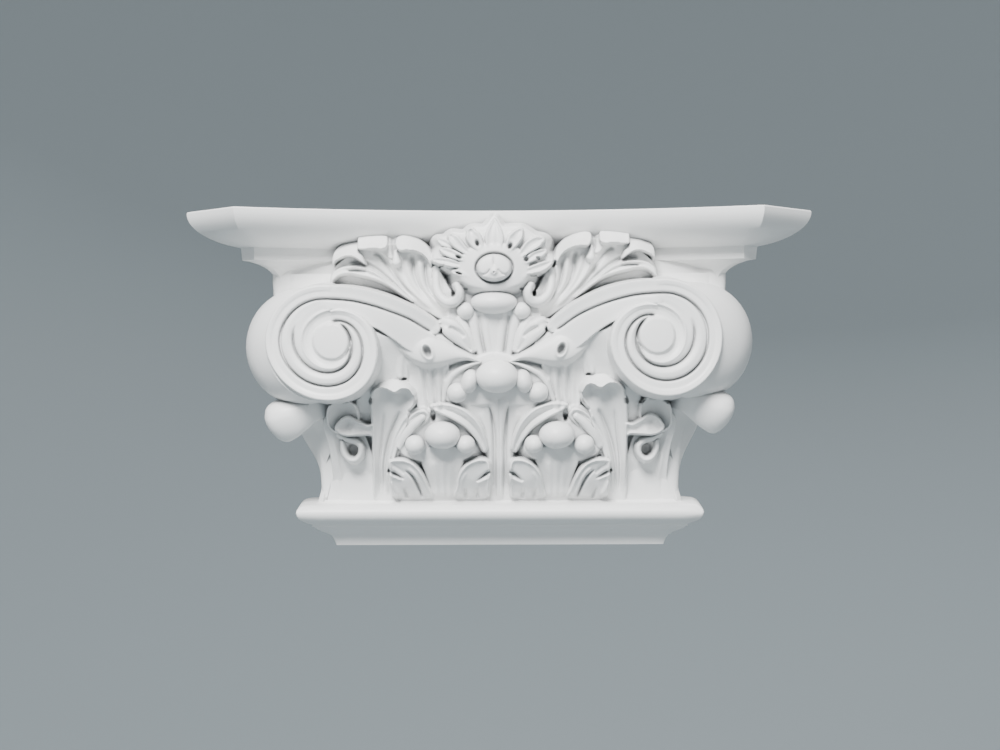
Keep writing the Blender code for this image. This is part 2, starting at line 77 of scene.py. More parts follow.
def curve(points, perSpan=8, closed=False):
    # Catmull-Rom line through points, with any further columns carried along
    p = np.array(points, float)
    if closed:
        p = np.vstack([p[-1], p, p[0], p[1]])
    else:
        p = np.vstack([2 * p[0] - p[1], p, 2 * p[-1] - p[-2]])
    t = np.linspace(0.0, 1.0, perSpan, endpoint=False)[:, None]
    spans = []
    for a, b, c, d in zip(p, p[1:], p[2:], p[3:]):
        spans.append(0.5 * (2 * b + (c - a) * t + (2 * a - 5 * b + 4 * c - d) * t * t
                            + (3 * b - a - 3 * c + d) * t ** 3))
    return np.vstack(spans + [p[-2:-1]])


def along(values, share):
    # smooth value at a share from 0 to 1 of a list of evenly spaced ones
    line = curve([(i / (len(values) - 1), v) for i, v in enumerate(values)])
    return np.interp(share, line[:, 0], line[:, 1])


def nearest(x, z, line):
    # each point's distance from the line, its side (+1 is left of travel), its share of the way,
    # and the line's further columns there
    a = line[:-1]
    run = line[1:, :2] - a[:, :2]
    rx = x[:, None] - a[:, 0]
    rz = z[:, None] - a[:, 1]
    t = np.clip((rx * run[:, 0] + rz * run[:, 1]) / ((run ** 2).sum(1) + 1e-9), 0.0, 1.0)
    ex = rx - t * run[:, 0]
    ez = rz - t * run[:, 1]
    gap = ex * ex + ez * ez
    k = gap.argmin(1)
    row = np.arange(len(x))
    t = t[row, k]
    side = np.sign(run[k, 0] * ez[row, k] - run[k, 1] * ex[row, k])
    extra = a[k, 2:] + t[:, None] * (line[k + 1, 2:] - a[k, 2:])
    return np.sqrt(gap[row, k]), side, (k + t) / len(a), extra


def insideOf(x, z, line):
    # even-odd test against a closed line
    az, bz = line[:-1, 1], line[1:, 1]
    ax, bx = line[:-1, 0], line[1:, 0]
    crosses = (az > z[:, None]) != (bz > z[:, None])
    slope = (bx - ax) / np.where(np.abs(bz - az) < 1e-9, 1e-9, bz - az)
    left = x[:, None] < slope * (z[:, None] - az) + ax
    return (crosses & left).sum(1) % 2 == 1


def membrane(points):
    # smooth surface through scattered (x, z, out) points
    p = np.array(points, float)
    n = len(p)

    def bulge(r2):
        return r2 * np.log(r2 + 1e-9)

    r2 = ((p[:, None, :2] - p[None, :, :2]) ** 2).sum(2)
    flat = np.column_stack([np.ones(n), p[:, :2]])
    system = np.zeros((n + 3, n + 3))
    system[:n, :n] = bulge(r2) + np.eye(n) * 0.5
    system[:n, n:] = flat
    system[n:, :n] = flat.T
    weights = np.linalg.solve(system, np.append(p[:, 2], np.zeros(3)))

    def surface(x, z):
        r2 = (x[:, None] - p[:, 0]) ** 2 + (z[:, None] - p[:, 1]) ** 2
        return bulge(r2) @ weights[:n] + weights[n] + weights[n + 1] * x + weights[n + 2] * z

    return surface


# Mouldings and bell

bell = {"footHalfWidth": 90.5, "topHalfWidth": 114.5, "footZ": 20.0, "topZ": 134.0, "footOut": 33.5,
        "topOut": 50.0, "cornerOut": 39.5, "middleHalf": 50.0, "draft": 0.08, "corner": 3.0, "sunk": 3.0}
bellWidening = [0.0, 0.05, 0.22, 0.6, 0.92, 1.0]
bellRise = [0.0, 0.3, 0.6, 0.82, 0.97, 1.0]


def bellHalfWidth(z):
    share = (z - bell["footZ"]) / (bell["topZ"] - bell["footZ"])
    return bell["footHalfWidth"] + (bell["topHalfWidth"] - bell["footHalfWidth"]) * along(bellWidening, share)


def bellOut(u, z):
    # how far out the bell's front stands
    rise = along(bellRise, (z - bell["footZ"]) / (bell["topZ"] - bell["footZ"]))
    middle = bell["footOut"] + (bell["topOut"] - bell["footOut"]) * rise
    corner = bell["footOut"] + (bell["cornerOut"] - bell["footOut"]) * rise
    fall = np.clip((u - bell["middleHalf"] * 0.8) / (bellHalfWidth(z) - bell["middleHalf"] * 0.8), 0.0, 1.2)
    return middle - (middle - corner) * fall ** 1.6


def deselect():
    if bpy.context.object and bpy.context.object.mode != "OBJECT":
        bpy.ops.object.mode_set(mode="OBJECT")
    bpy.ops.object.select_all(action="DESELECT")


def gridMesh(name, columns, rows, points):
    # a grid primitive whose vertices are moved to points[row, column], in metres
    deselect()
    bpy.ops.mesh.primitive_grid_add(x_subdivisions=columns - 1, y_subdivisions=rows - 1, size=2)
    obj = bpy.context.object
    obj.name = name
    count = len(obj.data.vertices)
    flat = np.empty(count * 3)
    obj.data.vertices.foreach_get("co", flat)
    flat = flat.reshape(-1, 3)
    i = np.rint((flat[:, 0] + 1) / 2 * (columns - 1)).astype(int)
    j = np.rint((flat[:, 1] + 1) / 2 * (rows - 1)).astype(int)
    obj.data.vertices.foreach_set("co", points[j, i].ravel())
    obj.data.update()
    return obj, i, j


def selectVertices(obj, chosen):
    for parts in (obj.data.edges, obj.data.polygons):
        parts.foreach_set("select", np.zeros(len(parts), bool))
    obj.data.vertices.foreach_set("select", chosen)


def edit(obj):
    bpy.context.view_layer.objects.active = obj
    bpy.ops.object.mode_set(mode="EDIT")
    bpy.ops.mesh.select_mode(type="VERT")


def stack(name, rings):
    # a closed body through rings of (x, z, out) points, all of one length
    points = np.array([[place(*p) for p in ring + ring[:1]] for ring in rings])
    rows, columns = points.shape[:2]
    obj, i, j = gridMesh(name, columns, rows, points)
    for row in (0, rows - 1):
        selectVertices(obj, j == row)
        edit(obj)
        bpy.ops.mesh.edge_face_add()
        bpy.ops.object.mode_set(mode="OBJECT")
    edit(obj)
    bpy.ops.mesh.select_all(action="SELECT")
    bpy.ops.mesh.remove_doubles(threshold=1e-6)
    bpy.ops.mesh.normals_make_consistent(inside=False)
    bpy.ops.object.mode_set(mode="OBJECT")
    return obj


def bothHalves(half):
    # a plan outline from its right half of (x, out), centre line first and wall last
    return half + [(-x, out) for x, out in reversed(half) if x > 1e-6]


def makeBell():
    rings = []
    for z in np.linspace(bell["footZ"] - 6.0, bell["topZ"] + 12.0, 34):
        level = float(np.clip(z, bell["footZ"], bell["topZ"]))
        width = float(bellHalfWidth(level))
        xs = np.linspace(0.0, width - bell["corner"], 22)
        sunk = bell["sunk"] * (1 - smoothStep(xs, width - 16.0, width - 9.0))     # behind the carving
        half = [(x, float(bellOut(x, level)) - float(s)) for x, s in zip(xs, sunk)]
        edgeOut = half[-1][1]
        for turn in (30, 60, 90):
            angle = math.radians(turn)
            half.append((width - bell["corner"] * (1 - math.sin(angle)),
                         edgeOut - bell["corner"] * (1 - math.cos(angle))))
        half.append((width + bell["draft"] * edgeOut * (1 - float(smoothStep(level, 40.0, 120.0))), 0.0))
        rings.append([(x, z, out) for x, out in bothHalves(half)])
    return stack("bell", rings)


base = {"halfWidth": 84.0, "depth": 27.0, "draft": 0.075}
# height and projection of the base moulding from the underside up: cove, fillet, torus and ledge
baseProfile = [(0.0, 0.0), (0.6, 0.1), (3.2, 1.0), (5.2, 2.2), (6.6, 4.2), (7.8, 6.6), (8.9, 8.6), (9.8, 9.7),
               (10.3, 10.1), (10.5, 10.9), (11.4, 11.1), (11.8, 11.5), (12.5, 13.0), (13.4, 15.0),
               (14.8, 16.8), (16.4, 17.9), (18.0, 18.3), (19.4, 17.9), (20.6, 16.8), (21.4, 15.4),
               (21.8, 13.8), (22.0, 12.0), (22.2, 9.4), (22.8, 7.6), (24.0, 6.6), (26.0, 6.2)]


def makeBase():
    rings = []
    for z, projection in baseProfile:
        halfWidth = base["halfWidth"] + projection
        out = base["depth"] + projection
        half = [(x, out) for x in np.linspace(0.0, halfWidth - 0.5, 12)]
        half += [(halfWidth, out - 0.5), (halfWidth + base["draft"] * out, 0.0)]
        rings.append([(x, z, o) for x, o in bothHalves(half)])
    return stack("base", rings)


abacus = {"cornerX": 126.5, "cut": 28.0, "hollow": 24.5, "ovolo": 17.4, "ovoloProjection": 21.8,
          "sweep": 70.0, "fillet": 6.2, "setBack": 1.0, "cove": 10.8, "coveProjection": 11.1, "bellCut": 3.0}


def abacusPlan(inset):
    # hollow front, corner cut at 45 degrees, and a side that repeats the front about the corner's diagonal
    radius = (abacus["cornerX"] ** 2 + abacus["hollow"] ** 2) / (2 * abacus["hollow"])
    centreOut = frontOut - abacus["hollow"] + radius
    cornerSum = abacus["cornerX"] + frontOut - math.sqrt(2) * inset
    reach = radius + inset
    shift = tipX - frontOut
    end = math.pi / 4 + math.asin((cornerSum - centreOut) / (math.sqrt(2) * reach))
    widest = shift - abacus["bellCut"] + centreOut
    end = min(end, math.asin(widest / (math.sqrt(2) * reach)) - math.pi / 4)
    front = []
    for i in range(25):
        angle = end * i / 24
        front.append((reach * math.sin(angle), centreOut - reach * math.cos(angle)))
    sideOut = front[-1][0] - shift
    side = [(front[-1][1] + shift, sideOut)]
    for i in range(1, 7):
        out = sideOut * (1 - i / 6)
        side.append((centreOut - math.sqrt(reach ** 2 - (out + shift) ** 2) + shift, out))
    return bothHalves(front + side)


def makeAbacus():
    coveTop = abacus["ovoloProjection"] + abacus["setBack"]
    coveFoot = height - abacus["ovolo"] - abacus["fillet"] - abacus["cove"]
    sweep = math.radians(abacus["sweep"])
    profile = [(coveFoot - 4.0, coveTop + abacus["coveProjection"])]
    for i in range(9):
        angle = math.pi / 2 * i / 8
        profile.append((coveFoot + abacus["cove"] * math.sin(angle),
                        coveTop + abacus["coveProjection"] * math.cos(angle)))
    profile.append((height - abacus["ovolo"] - 0.2, abacus["ovoloProjection"] + 0.5))
    for i in range(14, 0, -1):
        angle = sweep * i / 14
        profile.append((height - 0.6 - (abacus["ovolo"] - 0.8) * math.sin(angle) / math.sin(sweep),
                        abacus["ovoloProjection"] * (1 - math.cos(angle)) / (1 - math.cos(sweep))))
    profile += [(height - 0.6, 0.0), (height, 0.5)]
    rings = [[(x, z, out) for x, out in abacusPlan(inset)] for z, inset in profile]
    return stack("abacus", rings)


bolster = {"z": 101.5, "frontX": 84.0, "backX": 100.0, "halfWidth": 26.0, "halfHeight": 26.5, "wider": 2.0,
           "taller": 3.0, "front": 70.0}
bolsterSwell = [0.0, 0.62, 0.9, 1.0, 1.0, 0.97, 0.9]         # from behind the volute to the wall


def makeBolster(side):
    # the roll behind the volute, which swells sideways and runs back to the wall
    lift = uneven["raise"] if side > 0 else 0.0
    rings = []
    for share in np.linspace(0.0, 1.0, 16):
        swell = float(along(bolsterSwell, share))
        centreX = bolster["frontX"] + (bolster["backX"] - bolster["frontX"]) * swell
        halfWidth = bolster["halfWidth"] + bolster["wider"] * swell
        halfHeight = bolster["halfHeight"] + bolster["taller"] * swell
        ring = []
        for i in range(48):
            angle = 2 * math.pi * i / 48
            x = centreX + halfWidth * math.cos(angle)
            ring.append((side * x + uneven["lean"] * (1 - swell),
                         bolster["z"] + lift + halfHeight * math.sin(angle), (1 - share) * bolster["front"]))
        rings.append(ring)
    return stack("bolster", rings)


curl = {"pivotX": 86.0, "pivotOut": 29.0, "stemHalf": 1.6, "headWider": 13.0}
# the corner leaf's section as (reach along the diagonal, height), in its middle and at its ends
curlMiddle = [(-24.0, 20.0), (5.0, 20.0), (5.4, 30.0), (6.2, 38.0), (7.6, 46.0), (9.4, 53.0), (11.4, 59.0),
              (14.0, 63.0), (17.4, 64.6), (20.6, 63.0), (23.4, 59.0), (26.0, 55.4), (28.5, 54.0),
              (31.6, 55.0), (35.4, 58.0), (38.4, 62.0), (39.6, 66.4), (37.6, 71.4), (29.0, 75.6),
              (14.0, 77.5), (-24.0, 80.0)]
curlEnd = [(-24.0, 20.0), (5.0, 20.0), (5.2, 30.0), (5.8, 38.0), (6.6, 46.0), (7.6, 53.0), (8.8, 59.0),
           (10.4, 63.0), (12.6, 65.6), (15.0, 66.6), (17.6, 66.4), (20.0, 66.0), (22.2, 66.0), (24.4, 66.6),
           (26.0, 67.8), (26.8, 69.4), (26.8, 71.2), (25.2, 73.4), (20.0, 75.6), (12.0, 77.2), (-24.0, 80.0)]


def makeCurl(side):
    # the corner leaf's head, which rolls over outwards on the diagonal and hangs lowest in its middle
    middle, end = curve(curlMiddle, 5), curve(curlEnd, 5)
    lift = uneven["curlRaise"] if side > 0 else 0.0
    slant = math.sqrt(0.5)
    rings = []
    for share in np.linspace(-1.0, 1.0, 25):
        ring = []
        for reach, level in middle + (end - middle) * share ** 2:
            opened = float(smoothStep(level, 34.0, 60.0)) ** 1.4
            sideways = (curl["stemHalf"] + curl["headWider"] * opened) * share
            raised = level + lift * float(smoothStep(level, 30.0, 60.0))
            out = max(curl["pivotOut"] + (reach - sideways) * slant, 4.0)
            ring.append((side * (curl["pivotX"] + (reach + sideways) * slant), raised, out))
        rings.append(ring)
    return stack("curl", rings)


def makeBall(x, z, out, radii, tilt):
    # a bud or berry: an egg of three half sizes (across, up, out), tilted in the face
    deselect()
    bpy.ops.mesh.primitive_uv_sphere_add(segments=32, ring_count=20, radius=1.0, location=(0, 0, 0))
    obj = bpy.context.object
    obj.data.transform(Matrix.Diagonal((radii[0] * mm, radii[2] * mm, radii[1] * mm, 1.0)))
    obj.data.transform(Matrix.Rotation(math.radians(tilt), 4, "Y"))
    obj.data.transform(Matrix.Translation(Vector(place(x, z, out))))
    return obj


# The carved front

class Relief:
    # A height field: how far out the carving stands at each x and z, in mm. Forms are drawn for one side,
    # with u counted from the middle outwards, and appear on both.
    def __init__(self, step):
        self.columns = int(2 * relief["width"] / step) | 1
        self.rows = int((relief["top"] - relief["foot"]) / step)
        z = np.linspace(relief["foot"], relief["top"], self.rows)
        low, high, soft = relief["bellyFrom"], relief["bellyTo"], relief["bellySoft"]
        belly = smoothStep(z, low, low + soft) * (1 - smoothStep(z, high - soft, high))
        edge = bellHalfWidth(np.minimum(z, bell["topZ"])) - 1.6
        half = edge + (relief["width"] - edge) * belly
        self.z = np.repeat(z, self.columns)
        self.x = (half[:, None] * np.linspace(-1.0, 1.0, self.columns)).ravel()
        x, z = self.x, self.z
        self.signed = x - leanAt(z)
        lift = uneven["raise"] * smoothStep(self.signed, 15.0, 55.0) * smoothStep(z, 55.0, 90.0)
        self.u = np.abs(self.signed)
        self.up = z - lift
        level = np.minimum(z, bell["topZ"])
        width = bellHalfWidth(level)
        start = bellOut(np.abs(x), level) - 0.8 * smoothStep(np.abs(x), width - 12.0, width - 5.0)
        beyond = (np.abs(x) > width - bell["corner"]) | (z > bell["topZ"] + 4.0)
        self.out = np.where(beyond, relief["floor"], start)

    def near(self, line, margin, signed=False):
        # indices of the grid's points round a line
        across = self.signed if signed else self.u
        low = line[:, :2].min(0) - margin
        high = line[:, :2].max(0) + margin
        within = (across > low[0]) & (across < high[0])
        return np.nonzero(within & (self.up > low[1]) & (self.up < high[1]))[0]

    def lay(self, index, heights, soft):
        # union with what is already carved, with a small fillet
        old = self.out[index]
        share = np.clip(0.5 + 0.5 * (heights - old) / soft, 0.0, 1.0)
        self.out[index] = old + (heights - old) * share + soft * share * (1 - share)

    def edge(self, inside, rim, wall, rounding):
        # what a form's edge adds: a raised rim, a rounded arris and a wall that falls away
        arris = np.sqrt(np.maximum(rounding ** 2 - np.maximum(rounding - inside, 0.0) ** 2, 0.0))
        fall = np.where(inside < 0, rounding - wall * inside, rounding - arris)
        return rim * np.exp(-((inside - 0.8) / 0.55) ** 2) - fall

    def leaf(self, points, section=(0.0, 0.0), rim=0.0, wall=7.0, rounding=0.6, signed=False, soft=0.5):
        # a lobe along a line of (u, z, half width, out)
        # section gives heights across it, right of travel first
        line = curve(points)
        index = self.near(line, line[:, 2].max() + 8.0, signed)
        across = self.signed[index] if signed else self.u[index]
        distance, side, share, extra = nearest(across, self.up[index], line)
        half = np.maximum(extra[:, 0], 0.05)
        s = np.clip(side * distance / half, -1.0, 1.0)
        rise = extra[:, 1] + along(section, (s + 1) / 2)
        self.lay(index, rise + self.edge(half - distance, rim, wall, rounding), soft)

    def plate(self, outline, inner=(), rim=0.0, hollow=0.0, wall=7.0, rounding=0.6, signed=False, soft=0.5):
        # a leaf inside a closed outline of (u, z, out)
        # its face is a smooth surface through those points and inner
        line = curve(outline, 6, closed=True)
        index = self.near(line, 8.0, signed)
        across = self.signed[index] if signed else self.u[index]
        up = self.up[index]
        distance, side, share, extra = nearest(across, up, line)
        inside = np.where(insideOf(across, up, line), distance, -distance)
        surface = membrane(list(outline) + list(inner))(across, up)
        rise = np.where(inside > 0, surface - hollow * (1 - np.exp(-np.maximum(inside, 0) / 2.5)),
                        extra[:, 0])
        self.lay(index, rise + self.edge(inside, rim, wall, rounding), soft)

    def line(self, points, signed=False, ends=0.12):
        # a groove (depth below zero) or ridge along (u, z, half width, depth), fading at its ends
        path = curve(points)
        index = self.near(path, path[:, 2].max() * 3.0, signed)
        across = self.signed[index] if signed else self.u[index]
        distance, side, share, extra = nearest(across, self.up[index], path)
        fade = smoothStep(share, 0.0, ends) * (1 - smoothStep(share, 1.0 - ends, 1.0))
        self.out[index] += extra[:, 1] * fade * np.exp(-(distance / extra[:, 0]) ** 2)

    def pit(self, u, z, halfWidth, halfHeight, depth, tilt=0.0, ring=0.0, signed=False):
        # an eye of a leaf: an oval hole with a raised ring round it
        reach = max(halfWidth, halfHeight) * 2.5 + 1.0
        index = self.near(np.array([[u, z]]), reach, signed)
        dx = (self.signed[index] if signed else self.u[index]) - u
        dz = self.up[index] - z
        c, s = math.cos(math.radians(tilt)), math.sin(math.radians(tilt))
        across, upright = dx * c + dz * s, dz * c - dx * s
        r = np.sqrt((across / halfWidth) ** 2 + (upright / halfHeight) ** 2)
        hole = depth * (1 - smoothStep(r, 0.35, 1.0))
        lip = ring * np.exp(-((r - 1.15) * min(halfWidth, halfHeight) / 0.7) ** 2)
        self.out[index] += lip - hole


relief = {"step": 0.36, "quickStep": 0.6, "width": 115.0, "foot": 21.0, "top": 166.5,
          "floor": 12.0, "back": 8.0,
          "bellyFrom": 72.0, "bellyTo": 134.0, "bellySoft": 5.0,        # where the volutes stand out
          "sunkFoot": 5.6, "sinkFrom": 24.0, "sinkTo": 44.0, "fadeFrom": 22.4, "fadeTo": 28.0}
volute = {"u": 78.5, "z": 103.7, "out": 76.0, "turnOut": 0.12, "eye": 8.9}
# distances from the eye at each quarter turn, from the top outwards and down: the band's edge over two
# turns, the groove along its middle, and the second groove inside that
voluteEdge = [26.9, 32.2, 28.6, 22.1, 15.2, 14.2, 13.2, 9.8, 8.8]
voluteGroove = [20.1, 25.0, 21.3, 14.7, 9.4]
voluteSplit = [18.6, 18.5, 14.9, 9.8, 9.4]


def spiralAt(radius, turn):
    return (volute["u"] + radius * math.sin(2 * math.pi * turn),
            volute["z"] + radius * math.cos(2 * math.pi * turn))


def carveVolute(field):
    # a disc whose bands wind in to the eye; its section is worked out between radii that shrink with the turn
    index = field.near(np.array([[volute["u"], volute["z"]]]), 38.0)
    du = field.u[index] - volute["u"]
    dz = field.up[index] - volute["z"]
    r = np.hypot(du, dz)
    turn = np.mod(np.arctan2(du, dz) / (2 * math.pi), 1.0)
    edge = along(voluteEdge, turn / 2)
    inner = np.maximum(along(voluteEdge, 0.5 + turn / 2), volute["eye"] + 0.4)
    groove = along(voluteGroove, turn)
    split = along(voluteSplit, turn)
    cut = smoothStep(turn, 0.14, 0.3)                       # the second groove starts beyond the top
    sink = smoothStep(turn, 0.8, 1.0)                       # the inner bands sink as they reach the eye
    shallow = np.exp(-((turn - 0.5) / 0.13) ** 2)           # the moat is shallow below the eye
    eye = np.full_like(r, volute["eye"])
    none = np.zeros_like(r)
    moat = -2.2 + 1.3 * shallow
    stations = [(edge + 0.1, none - 0.7), (edge - 0.8, none + 0.1), (edge - 2.2, -0.2 - 0.9 * sink),
                ((edge + groove) / 2, -0.8 - 1.0 * sink), (groove + 0.9, -0.7 - 1.5 * sink),
                (groove - 0.9, -0.3 - 1.9 * sink), ((groove + split) / 2, 0.1 - 2.3 * sink),
                (split + 0.8, -0.1 - 0.5 * cut - 1.6 * sink), (split - 0.8, -0.1 - 1.1 * cut - 1.0 * sink),
                (inner + 1.0, -0.5 - 1.7 * sink), (inner - 0.1, 0.15 - 2.3 * sink),
                (inner - 1.4, 0.6 * moat - 0.9 * sink), ((inner + eye) / 2, 0.9 * moat), (eye + 0.8, moat)]
    rise = none
    outerR = outerLevel = None
    for radius, level in stations:
        if outerR is None:
            rise = level - 10.0 * np.maximum(r - radius, 0.0)
        else:
            radius = np.minimum(radius, outerR - 0.05)
            t = np.clip((outerR - r) / (outerR - radius), 0.0, 1.0)
            rise = np.where(r < outerR, outerLevel + (level - outerLevel) * t * t * (3 - 2 * t), rise)
        outerR, outerLevel = radius, level
    rim = smoothStep(r, volute["eye"] - 0.9, volute["eye"] + 0.8)
    button = 0.9 - 0.25 * smoothStep(r, 4.0, volute["eye"] - 1.6)
    rise = np.where(r < volute["eye"] + 0.8, button + (moat - button) * rim, rise)
    field.lay(index, volute["out"] - volute["turnOut"] * du + rise, 0.3)


def overTop(outer, inner, first, last, count=5):
    # a band's middle line where it comes over the volute's top, sinking under the disc at its end
    points = []
    for turn in np.linspace(first, last, count):
        a, b = float(along(outer, turn)), float(along(inner, turn))
        u, z = spiralAt((a + b) / 2, turn)
        points.append((u, z, (a - b) / 2 * (1 - 0.3 * turn / first),
                       volute["out"] - volute["turnOut"] * (u - volute["u"]) - 1.6 * turn / first))
    return points


def carveArms(field):
    # two bands that leave the volute's top and run down to the middle, with one groove between them
    bandB = overTop(voluteGroove, [15.2, 14.7, 13.2, 9.8, 8.8], 0.12, 0.0)
    field.leaf(bandB + [(70.0, 121.0, 2.4, 75.0), (64.0, 118.9, 3.1, 74.8), (59.0, 116.2, 4.6, 74.2),
                        (52.0, 113.4, 5.4, 72.8), (45.0, 109.6, 6.2, 70.8), (38.6, 105.4, 6.8, 68.8),
                        (34.0, 102.6, 6.4, 67.4)], section=(-0.2, 0.0, 0.1, 0.0, -0.1), rim=0.1,
               rounding=0.35, wall=10.0, soft=0.3)
    bandA = overTop(voluteEdge[:5], voluteGroove, 0.14, 0.0)
    field.leaf(bandA + [(70.5, 126.7, 3.5, 75.5), (62.5, 125.2, 3.7, 75.0), (52.5, 122.2, 3.8, 73.6),
                        (42.0, 117.8, 3.7, 71.2), (34.0, 113.3, 3.5, 68.6), (29.3, 110.3, 3.2, 66.8)],
               section=(0.1, -0.3, -0.6, -0.6, -0.6), rounding=0.6, wall=12.0, soft=0.3)


def carveGrooves(field):
    # the two thin grooves that wind round the volute, cut last
    winding = [spiralAt(float(along(voluteGroove, turn)), turn) + (0.62, -3.2)
               for turn in np.linspace(0.03, 1.0, 22)]
    field.line([(30.2, 108.0, 0.62, -2.4), (33.3, 109.7, 0.62, -3.2), (41.3, 114.5, 0.62, -3.2),
                (51.4, 118.5, 0.62, -3.2), (61.2, 121.6, 0.62, -3.2), (70.0, 123.4, 0.62, -3.2)] + winding,
               ends=0.03)
    inside = [spiralAt(float(along(voluteSplit, turn)), turn) + (0.62, -2.9)
              for turn in np.linspace(0.17, 0.93, 18)]
    field.line(inside, ends=0.1)
    field.pit(32.6, 98.7, 2.2, 3.4, 4.6, tilt=-22.0, ring=1.1)


def carveFan(field):
    # half a palmette between the arm and the rosette: ribs spread from its root, and its lobes roll forward
    field.plate([(24, 114.5, 57), (34, 119, 54), (46, 126, 52.5), (60, 130, 52), (76, 130.5, 52),
                 (80, 133, 52), (78, 141, 56), (66, 149, 57), (52, 152, 57.5), (38, 150, 58),
                 (29.5, 143, 59), (23.5, 133, 60), (18.5, 122, 60)],
                inner=[(50.0, 138.0, 54.5), (38.0, 133.0, 56.0), (62.0, 139.0, 54.5)])
    # lowest lobe, whose lip hangs over a dark hollow along the arm
    field.plate([(80.4, 130.6, 56), (78.2, 134.4, 59), (75, 136.4, 60.4), (70.6, 137, 61),
                 (65.2, 135.9, 60.8), (58, 134, 60), (51, 130.4, 58.8), (44, 125.4, 57.4), (40, 123.6, 57),
                 (46, 129.4, 57.6), (52.6, 134.4, 58.4), (58.6, 138.2, 59.4), (66, 140.2, 60),
                 (74, 140.4, 59.6), (79.6, 137, 57.6)], rim=0.6, soft=0.3)
    field.line([(61.5, 138.2, 0.8, -1.4), (66.5, 138.8, 0.9, -2.2), (72, 138.6, 0.8, -1.2)])
    # ribs between the lobes
    for rib in ([(74, 139.4, 1.3, 2), (66, 140.4, 1.3, 2.2), (59, 138.2, 1.2, 1.8), (50, 131.4, 1.2, 1.6),
                 (38, 122.4, 1.1, 0.8)],
                [(47.8, 143.4, 1.5, 2.6), (47.4, 139, 1.4, 2.2), (44.6, 133.4, 1.4, 2),
                 (38.6, 126.4, 1.3, 1.8), (28, 118.8, 1.2, 1)],
                [(43.4, 146, 1.2, 1.2), (42.6, 138.6, 1.2, 1.4), (38.8, 130.4, 1.2, 1.2),
                 (31, 122, 1.1, 0.6)],
                [(36.4, 146, 1.6, 2.4), (36, 136.4, 1.6, 2.4), (33.4, 128.6, 1.4, 2), (27, 121.4, 1.3, 1.6),
                 (20, 117.6, 1.2, 0.8)],
                [(30.2, 143, 1.6, 2.6), (31.2, 134, 1.5, 2.2), (29.2, 127, 1.3, 1.8), (24.4, 121.6, 1.2, 1.4),
                 (18.6, 118.4, 1.2, 0.6)]):
        field.line(rib)
    for cut in ([(72, 142.4, 0.9, -1.6), (65, 142.6, 1, -2.2), (58.6, 139.8, 1.1, -1.8), (52, 134.4, 1, -1.4),
                 (40, 124.6, 0.8, -0.8)],
                [(60.5, 147.6, 0.9, -2.2), (56.5, 146.3, 1.1, -2.8), (52.5, 141.8, 1.2, -2.6),
                 (48.5, 136.2, 1.2, -2.2), (43, 129.4, 1, -1.6), (34, 121.8, 0.8, -0.8)],
                [(40.9, 147.2, 1.2, -2.8), (39.6, 142, 1.3, -3), (39.4, 137.2, 1.1, -2.2),
                 (36.6, 130.6, 0.9, -1.4), (30, 122.6, 0.8, -0.8)],
                [(33.6, 143.6, 0.8, -1.6), (33.2, 135, 0.9, -1.8), (30.6, 127.8, 0.8, -1.2),
                 (25, 121.6, 0.7, -0.6)]):
        field.line(cut)
    # rolled heads: upright where they leave the abacus, flaring out to a lip that hangs over the hollow
    for head in ([(79.2, 142.4, 60), (77.4, 143.6, 61.6), (75, 144.8, 62.6), (71.4, 145.9, 63.2),
                  (68.4, 145.2, 63.2), (66, 143.8, 62.6), (63.2, 142, 61.4), (64.6, 145.8, 60.6),
                  (66.7, 148, 59.6), (66.9, 154, 51), (71, 153.8, 50), (75.6, 152.4, 49), (79, 148, 53)],
                 [(66.8, 152.4, 58), (66.4, 149.6, 62.4), (64.2, 149, 63.6), (59, 149.4, 64.6),
                  (54.6, 149.1, 64.4), (52.4, 150.2, 63), (52.2, 153.6, 58.6), (53.4, 156.2, 55),
                  (59.6, 156.6, 54.6), (66.3, 156, 55)],
                 [(47.7, 155.2, 55), (48, 151.6, 60.4), (46.2, 148.4, 64.4), (42.4, 148.5, 65.6),
                  (38.4, 148, 65.8), (35, 146.6, 65.4), (32.4, 144, 64), (30.8, 140.4, 62.4),
                  (29.8, 143.4, 61.4), (31.2, 149, 55.6), (35.2, 153.8, 50.6), (40.6, 156.4, 51.4),
                  (44.6, 156.8, 53)]):
        field.plate(head, rim=0.3, wall=11, rounding=0.5, soft=0.3)
    field.plate([(54, 157.4, 52), (46.4, 157.4, 51.4), (46, 151, 55.4), (47, 146, 57.4), (52, 145, 57),
                 (54.6, 150, 56.4)], wall=2.5)
    # slot between the second and third heads, ending in a bright drop
    field.line([(50, 157, 1.3, -1), (49.6, 151, 1.1, -2.6), (48.6, 146, 1.2, -2.4), (48, 143.4, 1, -1)])
    field.leaf([(48.2, 148, 0.8, 59), (47.9, 144.6, 1.5, 60.4), (47.7, 142.6, 2, 61)], rounding=1.4, soft=0.4,
               section=(0.0, 0.3, 0.0))
    field.line([(27.4, 146, 1, 1.6), (26.8, 138, 1.1, 2.2), (26, 131, 1, 1.8), (24.4, 125.8, 1, 1)])
    # the curl that hooks in under the rosette
    field.leaf([(28, 140, 1.6, 62), (28.2, 131.5, 1.8, 63.5), (26.4, 126, 1.9, 65), (22.4, 122.8, 2, 66.5),
                (18, 123.6, 2, 68), (16.6, 127.6, 1.8, 69), (18, 131, 1.4, 68.5)], rounding=1.2,
               section=(-0.4, 0.2, -0.4))


